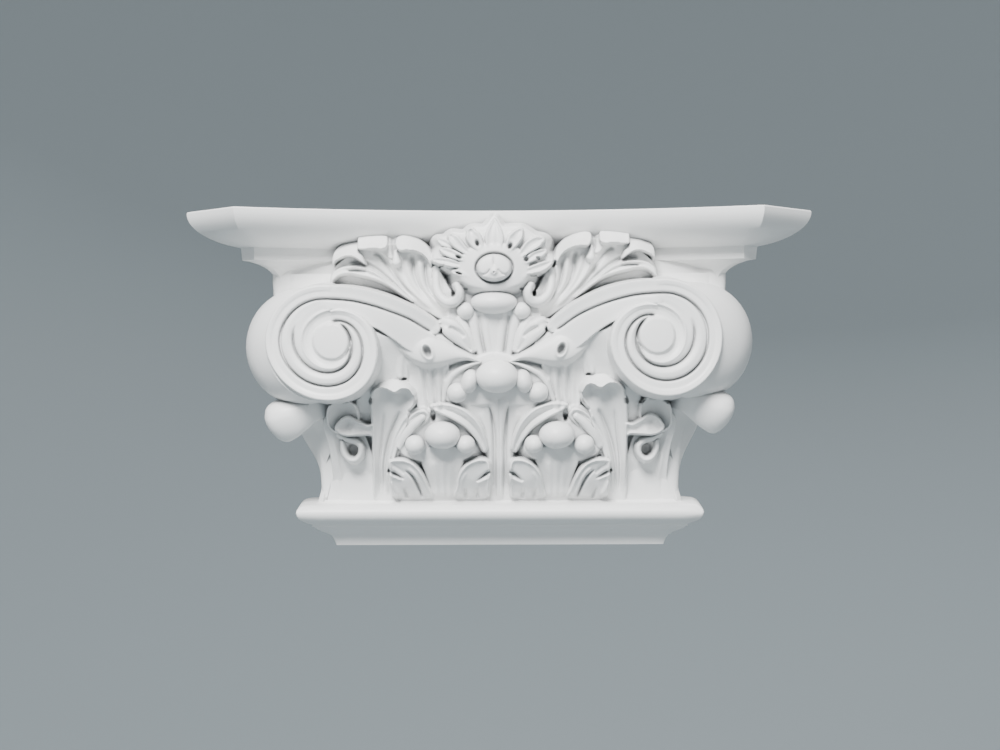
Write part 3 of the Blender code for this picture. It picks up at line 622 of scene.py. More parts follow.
def carveUpperCup(field):
    # the fluted cup of the upper bud, and the leaf on each flank
    field.plate([(0, 129, 61), (12, 128, 61), (19.6, 124, 60.6), (23, 117, 61), (20, 108, 60.6),
                 (0, 110, 59), (-1, 120, 60)], wall=3, rounding=1)
    field.plate([(0, 121, 64), (9, 122, 63), (15.5, 121, 62), (16, 116.5, 61.5), (12, 109, 60.5),
                 (8.5, 99, 58.5), (6.5, 92.5, 58), (0, 92, 58.5), (-0.5, 105, 61)], rounding=1)
    field.leaf([(4.6, 120, 2, 63.5), (3.6, 108, 2, 62), (2.2, 97, 1.6, 60)], rounding=1.4,
               section=(-0.4, 0.3, -0.4))
    field.leaf([(11, 118, 2.4, 63), (9.2, 108, 2.2, 62), (6.8, 97, 1.7, 60)], rounding=1.4,
               section=(-0.4, 0.3, -0.4))
    field.line([(7.6, 118, 0.8, -1.6), (6.4, 108, 0.8, -1.8), (4.6, 96.5, 0.7, -1.6)])
    field.leaf([(26.2, 112, 1.6, 64), (23.6, 111.6, 3.8, 66.4), (19.6, 108.8, 4.4, 66.8),
                (15.4, 104.4, 3.6, 65), (11.6, 99.4, 1.6, 62)], section=(-0.6, 0.4, 0, 0.4, -0.6), rim=0.3,
               rounding=1)
    field.line([(22.2, 110.6, 0.8, -1.2), (18, 108.8, 1, -2), (14, 105.4, 0.9, -1.2)])
    field.leaf([(16.4, 114.6, 2.2, 62.6), (13.6, 107.6, 2.6, 63), (10.4, 99.6, 1.6, 61)], rounding=1.2,
               section=(-0.4, 0.3, -0.4))


def carveHookLeaf(field):
    # the short bridge from the arm's end to the leaf's head
    field.leaf([(32, 107.4, 3, 65), (27, 104, 3.4, 64.6), (22, 101.6, 2.6, 64)], wall=3, rounding=1.2)
    # the plain cheek that falls away from the volute's inner side
    field.plate([(62, 110, 72), (54, 107, 71), (47, 104, 68), (43, 97, 63), (43, 88, 59),
                 (44, 80, 55), (46, 72, 51.5), (56, 64, 48.5), (68, 64, 49), (72, 72, 53),
                 (66, 82, 62), (61, 94, 68)], inner=[(56, 96, 66.5), (55, 84, 60)], wall=3, rounding=1.2)
    # the leaf under the arm: its head bends in to the middle bud, and its flutes hang below
    field.plate([(45.2, 102, 63), (47.6, 96, 60.5), (49.6, 90.8, 58.5), (49.6, 86.6, 59.5),
                 (46.6, 84.6, 58.5), (43.8, 82, 56.4), (41.6, 77, 55), (40.4, 71.6, 54), (38, 67.5, 52.5),
                 (28.6, 68.5, 51.5), (26.6, 74, 54), (25.6, 81, 57), (23, 87, 60), (24.6, 97, 65),
                 (36, 103.5, 67)],
                inner=[(34.0, 88.0, 59.0), (34.0, 78.0, 54.5), (43.0, 93.0, 61.5), (30.0, 92.0, 60.5),
                       (44.6, 87.0, 57.0)], rim=0.4)
    for flute in (37.4, 33.2, 29):
        field.line([(flute + 0.4, 93, 1.2, 0.6), (flute, 84, 1.3, 1.3), (flute - 0.2 + (33 - flute) * 0.12,
                                                                         68.5, 1.1, 0.9)])
        field.line([(flute - 2, 92, 0.9, -0.4), (flute - 2.1, 84, 1, -1),
                    (flute - 2.1 + (33 - flute) * 0.12, 68.5, 0.9, -0.7)])
    # head: broad smooth shoulder with a drilled eye, running out to the tip
    field.leaf([(47, 102.6, 3.4, 65.6), (40, 101.8, 6.4, 67.6), (32.5, 99.8, 7.4, 68.4),
                (25, 98.6, 5.6, 67.8), (18.4, 97.4, 3.2, 67), (12.4, 95.8, 1.6, 65.4),
                (7.4, 93.7, 0.7, 63.6)], section=(-1.8, -0.2, 0.4, 0.2, -0.8), rounding=1.4, wall=2.6)
    # hanging fold on the outer side, its mouth turned down
    field.leaf([(45.4, 101, 3.6, 65), (46.8, 95, 3, 63), (47.4, 90, 2.6, 61.4), (47.2, 87.2, 1.9, 60.6)],
               section=(-0.8, 0.2, 0.2, -0.8), rounding=1.2)
    field.pit(45.6, 85.4, 1.9, 0.9, 3.4)
    # under edge that frames the bud: from the tip out and down
    field.leaf([(7.8, 93.3, 0.7, 63.6), (12.6, 92, 1, 63.4), (17.6, 89.8, 1.3, 62.8), (22, 86.6, 1.4, 61.4),
                (24.8, 82, 1.3, 59.6), (26.6, 76, 1.2, 56.6), (27.4, 72, 1, 54)], rounding=1,
               section=(-0.2, 0.2, -0.2))
    field.line([(11, 94.3, 0.8, -1.2), (17, 93.2, 1.2, -2), (23, 90, 1.3, -1.8), (26, 84, 1.1, -1.2)])


def carveCornerLeaf(field):
    # the tall leaf beside each corner: a heart-shaped head rolled forward, and three side lobes
    field.plate([(86.4, 24, 35.8), (84.6, 36, 38.8), (85.4, 50, 44.2), (87.6, 60, 49), (87, 66, 51),
                 (80, 70, 49), (70, 62, 46), (64, 45, 41), (63.5, 24, 36.5)],
                inner=[(72.0, 34.0, 35.6), (72.0, 48.0, 39.0)], soft=1.6)
    field.line([(79.8, 22, 1.2, 1.2), (80.4, 35, 1.2, 1.3), (82, 48, 1.1, 1), (83.8, 58, 1, 0.6)])
    field.line([(86.6, 24, 1.2, 0.8), (86.4, 34, 1.2, 0.9), (88.6, 46, 1.1, 0.5)])
    # upper left lobe, cupped
    field.plate([(84.8, 60.8, 50), (85.6, 66, 54.5), (84.2, 71.4, 57.5), (80.6, 74.4, 59), (76.6, 75.2, 59.2),
                 (72.8, 74.2, 58.6), (70, 71, 57), (69.6, 65, 53), (74, 60, 50), (80, 58, 49)],
                inner=[(78.0, 71.2, 54.0), (77.5, 67.0, 50.5), (77.0, 62.0, 48.5)], rim=1.2, hollow=1.0,
                wall=8.0)
    # pocket of the middle lobe, with its ring
    field.leaf([(80.4, 57.4, 1.2, 48.6), (76.6, 55.4, 1.3, 48.8), (72.4, 54.2, 1.4, 48.6),
                (69.6, 51.6, 1.4, 47.8), (69.8, 47.4, 1.4, 46.8), (72.6, 44.6, 1.4, 46.2),
                (76.2, 45.6, 1.4, 46), (78.4, 49.4, 1.3, 46.4), (78.8, 54, 1, 47.2)], rounding=1,
               section=(-0.3, 0.6, -0.3))
    field.pit(73.8, 49.6, 3.4, 4.2, 3.6)
    # middle lobe: an eye-shaped leaf that hangs over the pocket
    field.plate([(62.6, 56.6, 49), (62.4, 62.6, 52.5), (66, 62.6, 54.5), (69.6, 64.4, 56), (74.2, 66.6, 57.5),
                 (78.2, 65.4, 57), (81.6, 61.2, 55), (79.6, 58.4, 54.4), (75.4, 57.2, 54.6),
                 (69.6, 57.4, 53.6), (65.4, 57.4, 51)],
                inner=[(75.0, 63.4, 52.6), (73.0, 60.2, 54.4), (68.0, 60.0, 52.0)], rim=1.0, hollow=0.8,
                wall=9.0)
    # main stem and its head
    field.plate([(63.6, 23, 41), (63.6, 40, 44), (63.6, 55, 48.5), (63.6, 66, 54), (63.2, 73, 58),
                 (61.6, 78.2, 61), (57.4, 82, 62), (51, 83.6, 62), (45, 82, 62), (41.4, 78, 61),
                 (41, 74, 59.5), (43.4, 70, 57), (45, 67.4, 55.5), (45.8, 63, 53), (48.8, 56, 50),
                 (52.4, 46, 46.5), (54.4, 36, 43.5), (54.8, 23, 40)],
                inner=[(56.0, 77.0, 56.6), (46.0, 77.0, 56.6), (51.0, 76.6, 59.0), (52.0, 70.0, 55.6),
                       (57.0, 62.0, 51.0), (59, 50, 46.4)], rim=0.8, hollow=1.4)
    # the head's top rolls over in two scallops that meet in a dip
    field.plate([(61.6, 76.6, 62.6), (60.4, 79.4, 64.4), (57.6, 81, 65.4), (54.4, 80.8, 66), (50.4, 79, 66.6),
                 (46.6, 80.8, 66), (43.6, 80.4, 65.2), (41.4, 77.2, 63), (40.6, 78.8, 60.4), (43, 82.4, 60),
                 (47.1, 84.4, 60.4), (51.1, 85.2, 60.8), (54.8, 84.5, 60.4), (59.2, 82.2, 60),
                 (62.6, 78.2, 60)], rim=0.25, wall=9.0, rounding=0.4, soft=0.3)
    for groove in ([(60.6, 26, 0.7, -1.4), (60.4, 44, 0.8, -1.9), (58.6, 58, 0.8, -1.8), (57, 70, 0.8, -1)],
                   [(58.8, 25, 0.9, -1.6), (58, 42, 1, -2.2), (55.4, 55, 1.1, -2.6), (51.6, 64.4, 1.1, -2.6),
                    (48.6, 70, 0.9, -1.2)]):
        field.line(groove)
    field.line([(56.9, 25, 0.9, 1.3), (56.4, 40, 1, 1.7), (53.2, 54, 1, 2), (48.6, 63, 1, 1.8),
                (45, 67.6, 0.9, 1.2)])
    field.line([(62.4, 26, 0.7, 0.9), (62.6, 44, 0.7, 1.2), (62.4, 60, 0.7, 1.2), (61.6, 74, 0.7, 1)])
    # right side lobe beside the bud, and its bent tip
    field.plate([(57.4, 23, 38.5), (57.4, 40, 42.5), (53.4, 52, 47), (48.4, 61.6, 51), (44.6, 66.6, 54),
                 (40.4, 69.4, 56.5), (36.4, 69.6, 57.5), (34.4, 66.6, 56), (37.4, 62.4, 53), (42.4, 58.6, 50),
                 (47.6, 52.8, 47), (50.6, 46.8, 44), (53.4, 40, 41), (54.6, 23, 37.5)], rim=0.7, hollow=0.9)
    field.line([(55.4, 44, 0.8, 0.5), (51, 55, 0.9, 1), (45.6, 62.4, 0.9, 1), (39.6, 66.4, 0.8, 0.6)])
    field.line([(45.4, 69.6, 0.8, -1.6), (43.4, 69.4, 0.9, -3.6), (40.8, 71.6, 0.8, -3),
                (38.6, 73.4, 0.8, -1.2)])


def carveCalyx(field):
    # a low bud in its fluted cup, under a canopy of drooping leaves and between two split leaves
    field.plate([(12, 50, 50), (16, 60, 51.5), (24, 66.4, 53.5), (32, 70.4, 54.5), (40, 72, 54.2),
                 (47, 66, 53), (49.6, 56, 50.6), (49, 48, 48), (40, 44, 47), (20, 44, 47)], rounding=1.6,
                wall=2)
    field.plate([(39.6, 46, 47), (37.6, 38, 45), (35.8, 31, 43), (35, 23, 41.5), (21.6, 23, 41.5),
                 (21, 31, 43), (19.6, 38, 45), (17.6, 46, 47), (22, 52, 50), (34.6, 52, 50)],
                inner=[(28.5, 44.0, 48.0), (28.5, 30.0, 43.6)], rounding=1.4)
    for flute in (31.8, 28.4, 25.2):
        field.line([(flute + (flute - 28.4) * 0.4, 45, 1.3, 0.5), (flute, 34, 1.2, 0.9),
                    (flute, 24, 1.1, 0.8)])
    field.leaf([(49.8, 52, 1.8, 50), (46.6, 57.6, 2, 53), (42.2, 62.8, 2, 55.6), (38, 66.4, 1.6, 57)],
               section=(-0.6, 0.3, -0.4), rounding=1.0)
    # split leaf on the outer side
    field.plate([(55, 37, 48), (54.4, 30, 46), (52.2, 24, 43), (34.8, 24, 43), (36, 31, 46),
                 (38.6, 37.4, 48.5), (42, 42.2, 50), (46.4, 44.8, 51), (51, 45.2, 51), (55, 44.4, 49.5),
                 (55.2, 41, 49)],
                inner=[(46.0, 34.0, 48.6), (50.0, 40.0, 49.0)], rim=1.0, hollow=0.8)
    field.line([(47.6, 40, 0.6, -1.4), (44, 36.6, 0.7, -3), (41.4, 31.6, 0.7, -3.4), (38.8, 24, 0.6, -2.6)])
    field.line([(46, 41, 0.7, 0.5), (42.6, 37.6, 0.7, 0.9), (40, 32.4, 0.7, 0.9), (37.6, 25, 0.6, 0.7)])
    field.line([(56.4, 39.6, 0.9, -3.6), (53, 38, 0.8, -3.8), (49.6, 36, 0.6, -1.8), (48, 35, 0.5, -0.4)],
               ends=0.04)
    field.line([(55.6, 37.2, 0.7, 0.8), (52.6, 35.9, 0.7, 1), (49, 34.2, 0.6, 0.7)])
    field.line([(53.6, 43, 0.8, -0.9), (50, 40.2, 0.9, -1), (47.6, 37.6, 0.8, -0.6)])
    field.line([(48.6, 31, 0.8, -1.2), (47.6, 27.6, 1, -3.2), (47, 24, 1, -3)])
    field.line([(54.8, 34, 0.8, 1.2), (53.4, 30, 1, 1.8), (50.8, 25, 1, 1.6)])
    # split leaf on the inner side
    field.plate([(22.4, 24, 43), (21.9, 31, 46), (20.6, 37.1, 48.5), (17.6, 41.7, 50), (13.5, 44.4, 51),
                 (8.9, 45.4, 51), (5.9, 44.2, 50), (4.8, 40, 49), (4.8, 34.5, 48), (5.4, 30, 46),
                 (7, 24, 43)],
                inner=[(14.0, 34.0, 48.8), (9.6, 40.0, 49.2)], rim=1.0, hollow=0.8)
    field.line([(4.6, 38.9, 0.9, -3.8), (7.4, 37.2, 0.8, -3.8), (10.6, 34.8, 0.6, -1.6), (12, 34, 0.5, -0.4)],
               ends=0.04)
    field.line([(5.2, 35.6, 0.7, 0.8), (8.4, 34, 0.7, 1), (11.8, 32.4, 0.6, 0.6)])
    field.line([(19.6, 25, 1.1, 0.8), (19.4, 33, 1.1, 0.9), (16.4, 39, 0.9, 0.4)])
    field.line([(17.6, 30.6, 0.8, -1), (17.4, 27, 1, -2.6), (17.2, 24, 1, -2.6)])
    field.line([(11.6, 30.6, 0.8, -1), (11.5, 27, 1, -2.6), (11.3, 24, 1, -2.6)])


def carveMiddle(field):
    # the bed behind the middle bud and its neighbours
    field.plate([(0, 98, 61), (9, 96.4, 61.4), (17, 93.6, 61.6), (23.6, 90, 61), (27, 82, 58.4),
                 (25, 73.6, 55.5), (12, 72, 55.5), (0, 74, 57), (-1, 86, 60)], rounding=1.4, wall=2.4)
    # the stalk with its ribbed funnel, which spreads into leaves that droop over the low buds
    field.plate([(0, 22, 40.5), (7.6, 22, 38.5), (7.4, 34, 41), (7, 46, 44), (9.4, 58, 48), (14.6, 67, 53),
                 (20, 73.6, 56), (17, 82, 59), (0, 84, 60), (-0.6, 50, 47.5)],
                inner=[(9.0, 70.0, 53.0), (5.0, 50.0, 46.0)], rounding=1.2, soft=1.4)
    field.leaf([(2.4, 74, 2.6, 57.6), (1.6, 68, 1.9, 54.6), (0.8, 58, 1.3, 50.4), (0.6, 40, 1.2, 45),
                (0.6, 22, 1.2, 41.4)], rounding=1.4, section=(0.0, 0.2, 0.0))
    field.line([(4, 74, 0.9, -1.6), (3.4, 66, 1, -2.4), (2.7, 55, 1, -2.2), (2.6, 40, 0.9, -1.6),
                (2.6, 26, 0.9, -0.8)])
    field.line([(9.6, 70, 1.6, 0.7), (6.4, 60, 1.5, 1), (4.9, 48, 1.2, 1), (4.6, 30, 1.1, 0.7)])
    # canopy over each low bud
    field.plate([(34, 71.8, 57.5), (28, 73.2, 59), (22, 72.4, 59.6), (16.4, 69.8, 59.4), (11.2, 64.8, 57.6),
                 (7.8, 58.4, 54.6), (6, 50.4, 50.4), (8.4, 49, 48.6), (11.6, 54.4, 51.6), (15.6, 59.8, 55),
                 (20.6, 63.8, 57.4), (26, 66.8, 58.2), (31, 69, 57.6)],
                inner=[(21.0, 68.0, 58.8), (11.4, 59.4, 54.8)], rim=0.5, hollow=0.5)
    field.line([(30, 71, 0.8, -0.5), (22.4, 68.6, 0.9, -1.4), (15.4, 64.2, 0.9, -1.6), (10, 57.2, 0.8, -1),
                (7.6, 51, 0.7, -0.4)])
    field.pit(32.8, 67, 1.5, 4, 6)


def carveRosette(field):
    # the boss's calyx, and pointed petals that stand up off the abacus
    field.plate([(0, 151.6, 71), (9, 150.4, 70.6), (15.6, 146, 69.8), (17.6, 139.4, 69.4), (15.6, 132.6, 69),
                 (9, 129, 69.4), (0, 128, 69.8), (-9, 129, 69.4), (-15.6, 132.6, 69), (-17.6, 139.4, 69.4),
                 (-15.6, 146, 69.8), (-9, 150.4, 70.6)],
                inner=[(0, 139, 72.6)], rounding=2, signed=True, wall=2)
    field.plate([(0.6, 165.4, 67), (-4.4, 159.8, 68), (-10.6, 159.4, 68), (-14.6, 156.6, 68),
                 (-20.4, 157, 67.4), (-24, 154.6, 66.6), (-28, 154, 65.6), (-27, 149.6, 65.6),
                 (-29.6, 144.6, 65), (-26.6, 140.6, 65), (-19.6, 137, 65.6), (-14, 134, 66), (0, 138, 69),
                 (14, 134, 66), (21, 136.4, 65.6), (28, 140, 65), (29, 143.4, 65), (25.6, 147, 65.8),
                 (25.6, 153.6, 66.4), (20, 155.8, 67.4), (14.4, 159.4, 68), (8.4, 159.6, 68),
                 (4.4, 159.8, 68)], signed=True, wall=4.5, rounding=0.8)
    # petals: root to tip, hollow along the middle
    petals = [[(0.4, 148.0, 3.6, 71.0), (0.4, 153.0, 4.4, 71.6), (0.5, 158.0, 3.2, 71.0),
               (0.6, 163.0, 0.5, 69.0)],
              [(-5.8, 147.4, 1.8, 71), (-8.4, 151.6, 3.2, 72), (-10.2, 154.6, 3.2, 72.6),
               (-11, 156.6, 2, 72)],
              [(-12.2, 146.2, 1.2, 70.4), (-16.4, 149.8, 2.3, 71.4), (-19.2, 152.8, 2.4, 71.8),
               (-20.6, 154.6, 1.4, 71)],
              [(-20, 149.4, 0.9, 68.6), (-23.6, 151.4, 1.8, 69), (-26.2, 152.8, 1.2, 68)],
              [(-13.4, 143, 1.1, 70.2), (-18.4, 145.2, 2, 70.8), (-23, 147.2, 1.8, 70.2),
               (-25.4, 148.3, 0.9, 69)],
              [(-15, 140.2, 1, 69.8), (-20.6, 141.6, 1.9, 69.8), (-26, 142.8, 1.7, 68.8),
               (-28.8, 143.2, 1, 67.4)],
              [(-12.4, 136.2, 0.9, 69.6), (-16, 136.8, 1.5, 69.4), (-19.4, 137.4, 1, 68)],
              [(7, 147.6, 1.8, 71), (9.4, 152, 3, 72), (11.6, 155, 2.8, 72.4), (12.8, 156.8, 1.6, 71.6)],
              [(13.4, 145.6, 1.5, 70.6), (17.4, 149.4, 2.8, 71.4), (21.2, 151.6, 2.7, 71),
               (23.4, 152.6, 1.4, 70)],
              [(15, 141.8, 1.2, 70), (19.4, 144.6, 2.1, 70.2), (23.2, 146.2, 1.8, 69.4),
               (25, 147, 0.9, 68.4)],
              [(14.8, 137.4, 1.3, 69.6), (20, 138.4, 2.1, 69.6), (24.8, 140, 2, 68.8),
               (27.8, 141.4, 1.1, 67.6)]]
    for petal in petals:
        field.leaf(petal, section=(0, -0.7, -1.1, -0.7, 0), rim=0.5, rounding=0.6, wall=7, signed=True,
                   soft=0.25)
    field.line([(0.4, 150, 0.8, 0.6), (0.4, 155, 0.8, 0.9), (0.5, 161, 0.7, 0.5)], signed=True)
    for u, z, wide, high, tilt in ((-7.9, 151, 1.2, 2, 15), (-17, 144.4, 1.9, 1, -25),
                                   (-25.5, 140.4, 1.9, 0.8, 10), (-16.8, 136.6, 2.2, 0.7, -20),
                                   (8, 149.6, 1.4, 2, -20), (15.8, 143.3, 1.5, 1.6, 0),
                                   (21.6, 143.7, 1.3, 1, 0), (19.8, 135.8, 2.6, 0.7, 10),
                                   (29.6, 140.6, 1.2, 2.2, -30)):
        field.pit(u, z, wide, high, 3.4, tilt=tilt, ring=0.4, signed=True)
    field.pit(19.6, 127, 1.6, 2, 5, ring=0.5)
    field.pit(13.8, 129.4, 1.6, 1, 1.8)
    # boss: a shallow dome with a dark ring round it and a three-way seam
    field.lay(*dome(field, 0.3, 139.1, 8.4, 6.6, 76, 2.2), soft=0.3)
    ring = [(0.3 + 8.7 * math.sin(a), 139.1 + 6.9 * math.cos(a), 0.75,
             -3.6) for a in np.linspace(0.0, 2 * math.pi, 21)]
    cutClosed(field, ring)
    field.line([(0.2, 146, 0.5, -0.9), (0.2, 142.6, 0.5, -1.2), (0.2, 139.4, 0.5, -0.9)], signed=True)
    for side in (-1, 1):
        field.line([(side * 1.6 + 0.2, 138.4, 0.5, -0.9), (side * 3.2 + 0.2, 136.4, 0.5, -1.2),
                    (side * 5.4 + 0.2, 135.5, 0.5, -1.1), (side * 7.6 + 0.2, 136.4, 0.5, -0.5)], signed=True)
    field.pit(0.2, 136.8, 2.2, 2, -1.1, signed=True)
    field.pit(0.2, 136.6, 0.6, 0.6, 1.2, signed=True)


def dome(field, x, z, halfWidth, halfHeight, out, crown):
    # grid points and heights of a low oval dome
    index = field.near(np.array([[x, z]]), halfWidth + 3.0, True)
    r = np.hypot((field.signed[index] - x) / halfWidth, (field.up[index] - z) / halfHeight)
    bulge = crown * np.sqrt(np.maximum(1 - r * r * 0.92, 0.0))
    rise = out - crown + bulge - 12.0 * np.maximum(r - 1.0, 0.0) * 3
    return index, rise


def cutClosed(field, ring):
    path = curve(ring, 4)
    index = field.near(path, 3.0, True)
    distance, side, share, extra = nearest(field.signed[index], field.up[index], path)
    field.out[index] += extra[:, 1] * np.exp(-(distance / extra[:, 0]) ** 2)


def makeCarving():
    # the carved front as a block: the height field's grid, with straight walls back into the bell
    field = Relief(relief["step"])
    plain = field.out.copy()
    for carve in (carveCornerLeaf, carveCalyx, carveMiddle, carveFan, carveUpperCup, carveHookLeaf,
                  carveRosette, carveArms, carveVolute, carveGrooves):
        carve(field)
    # every leaf fades into the plain neck above the base
    sunk = relief["sunkFoot"] * (1 - smoothStep(field.z, relief["sinkFrom"], relief["sinkTo"]))
    fade = smoothStep(field.z, relief["fadeFrom"], relief["fadeTo"])
    out = plain + np.maximum(field.out - plain - sunk, 0.0) * fade
    out = np.maximum(out, relief["floor"])
    points = np.stack([field.x * mm, -out * mm, foot + field.z * mm],
                      -1).reshape(field.rows, field.columns, 3)
    obj, i, j = gridMesh("carving", field.columns, field.rows, points)
    selectVertices(obj, (i == 0) | (j == 0) | (i == field.columns - 1) | (j == field.rows - 1))
    edit(obj)
    bpy.ops.mesh.extrude_edges_move()
    bpy.ops.transform.resize(value=(1, 0, 1), center_override=(0, -relief["back"] * mm, 0))
    bpy.ops.mesh.edge_face_add()
    bpy.ops.mesh.select_all(action="SELECT")
    bpy.ops.mesh.normals_make_consistent(inside=False)
    bpy.ops.object.mode_set(mode="OBJECT")
    print("carved grid:", len(obj.data.polygons), "faces")
    return obj


# x, height and distance from the wall, half sizes across, up and out, and tilt in degrees
middleBuds = {"middle bud": (0.3, 86.4, 62.5, (10.6, 8.1, 9.6), 0.0),
              "upper bud": (0.1, 122.6, 63.0, (11.6, 5.6, 9.0), 0.0)}
sideBuds = {"bud beside the middle one": (13.2, 84.2, 60.5, (4.2, 6.0, 7.0), -14.0),
            "berry beside that": (19.8, 78.6, 58.0, (5.2, 5.1, 6.2), 0.0),
            "berry beside the upper bud": (13.7, 118.6, 62.0, (4.3, 4.3, 5.0), 0.0),
            "low bud": (28.3, 57.4, 54.0, (8.9, 6.9, 9.0), 0.0),
            "outer low berry": (42.0, 52.6, 52.0, (5.0, 4.9, 6.0), 0.0),
            "inner low berry": (16.9, 52.8, 52.5, (4.7, 4.6, 6.0), 0.0)}


def makeBuds():
    placed = list(middleBuds.values())
    for side in (-1, 1):
        placed += [(side * x, z, out, radii, side * tilt) for x, z, out, radii, tilt in sideBuds.values()]
    made = []
    for x, z, out, radii, tilt in placed:
        lift = uneven["raise"] * float(smoothStep(x, 15.0, 55.0) * smoothStep(z, 55.0, 90.0))
        made.append(makeBall(x + float(leanAt(z)), z + lift, out, radii, tilt))
    print("buds:", len(made))
    return made


def applyModifier(obj, kind, **settings):
    deselect()
    obj.select_set(True)
    bpy.context.view_layer.objects.active = obj
    modifier = obj.modifiers.new(kind.lower(), kind)
    for key, value in settings.items():
        setattr(modifier, key, value)
    bpy.ops.object.modifier_apply(modifier=modifier.name)


most = {"carving": 188000, "mouldings": 90000}


def joined(name, parts):
    # one object from several closed forms, thinned where it has too many faces
    deselect()
    for part in parts:
        part.select_set(True)
    bpy.context.view_layer.objects.active = parts[0]
    bpy.ops.object.join()
    body = bpy.context.object
    body.name = name
    count = sum(len(p.vertices) - 2 for p in body.data.polygons)
    if count > most[name]:
        applyModifier(body, "DECIMATE", ratio=most[name] / count)
    deselect()
    body.select_set(True)
    bpy.context.view_layer.objects.active = body
    bpy.ops.object.shade_smooth_by_angle(angle=math.radians(40))
    print(name, "from", count, "triangles, now", sum(len(p.vertices) - 2 for p in body.data.polygons))
    return body


# Finish: white primer, whose sheen and tone vary a little, with painted shade darkening its crevices

class Wire:
    # a shader socket that takes part in ordinary arithmetic
    def __init__(self, finish, socket):
        self.finish, self.socket = finish, socket

    def math(self, operation, *values):
        return self.finish.node("ShaderNodeMath", {"operation": operation}, dict(enumerate(values)))

    def __add__(self, other):
        return self.math("ADD", self, other)

    def __radd__(self, other):
        return self.math("ADD", other, self)

    def __sub__(self, other):
        return self.math("SUBTRACT", self, other)

    def __rsub__(self, other):
        return self.math("SUBTRACT", other, self)

    def __mul__(self, other):
        return self.math("MULTIPLY", self, other)

    def __rmul__(self, other):
        return self.math("MULTIPLY", other, self)


class Finish:
    # one material's node tree
    def __init__(self, name):
        self.material = bpy.data.materials.new(name)
        self.material.use_nodes = True
        self.nodes = self.material.node_tree.nodes
        self.shader = self.nodes["Principled BSDF"]

    def connect(self, target, value):
        if isinstance(value, Wire):
            self.material.node_tree.links.new(value.socket, target)
        else:
            target.default_value = value

    def node(self, kind, settings=None, inputs=None, output=0):
        made = self.nodes.new(kind)
        for key, value in (settings or {}).items():
            setattr(made, key, value)
        for key, value in (inputs or {}).items():
            self.connect(made.inputs[key], value)
        return Wire(self, made.outputs[output])

    def noise(self, place, scale, detail=3.0):
        return self.node("ShaderNodeTexNoise", {}, {"Vector": place, "Scale": scale, "Detail": detail})


# paintedShade is the grey painted into creases and hollows as shade; crevice is how far the occlusion test
# reaches
primer = {"tone": (0.80, 0.80, 0.79, 1.0), "paintedShade": (0.34, 0.345, 0.35, 1.0), "roughness": 0.42,
          "crevice": 0.006, "cloudScale": 14.0, "speckScale": 160.0, "skinScale": 900.0}


def makePrimer():
    finish = Finish("white primer")
    spot = finish.node("ShaderNodeTexCoord", output="Object")
    cloud = finish.noise(spot, primer["cloudScale"])
    speck = finish.noise(spot, primer["speckScale"], 4.0)
    skin = finish.noise(spot, primer["skinScale"], 2.0)
    # painted shade: ambient occlusion darkens the base colour in creases and hollows, and cloud and speck
    # noise vary the tone at random
    openness = finish.node("ShaderNodeAmbientOcclusion", {"samples": 8}, {"Distance": primer["crevice"]},
                           output="AO")
    paintedCreviceShade = finish.node("ShaderNodeMapRange", {"interpolation_type": "SMOOTHSTEP"},
                       {"Value": openness, "From Min": 0.62, "From Max": 0.15, "To Min": 0.0, "To Max": 1.0})
    paintedShadeAndTone = paintedCreviceShade * 0.9 + (cloud - 0.5) * 0.1 + (speck - 0.5) * 0.04
    colour = finish.node("ShaderNodeMix", {"data_type": "RGBA"},
                         {"Factor": paintedShadeAndTone, 6: primer["tone"], 7: primer["paintedShade"]}, output=2)
    finish.connect(finish.shader.inputs["Base Color"], colour)
    finish.connect(finish.shader.inputs["Roughness"],
                   primer["roughness"] + (cloud - 0.5) * 0.12 + (speck - 0.5) * 0.1)
    fine = finish.node("ShaderNodeBump", {}, {"Strength": 0.25, "Distance": 0.00006, "Height": skin})
    swelling = finish.noise(spot, 45.0, 2.0)
    coarse = finish.node("ShaderNodeBump", {},
                         {"Strength": 0.35, "Distance": 0.0004, "Height": swelling, "Normal": fine})
    finish.connect(finish.shader.inputs["Normal"], coarse)
    finish.shader.inputs["Specular IOR Level"].default_value = 0.4
    return finish.material


studio = {"floor": -0.75, "flat": 0.9, "radius": 2.4, "rise": 1.7, "steps": 12,
          "tone": (0.25, 0.29, 0.31, 1.0), "cloud": (0.29, 0.33, 0.35, 1.0)}


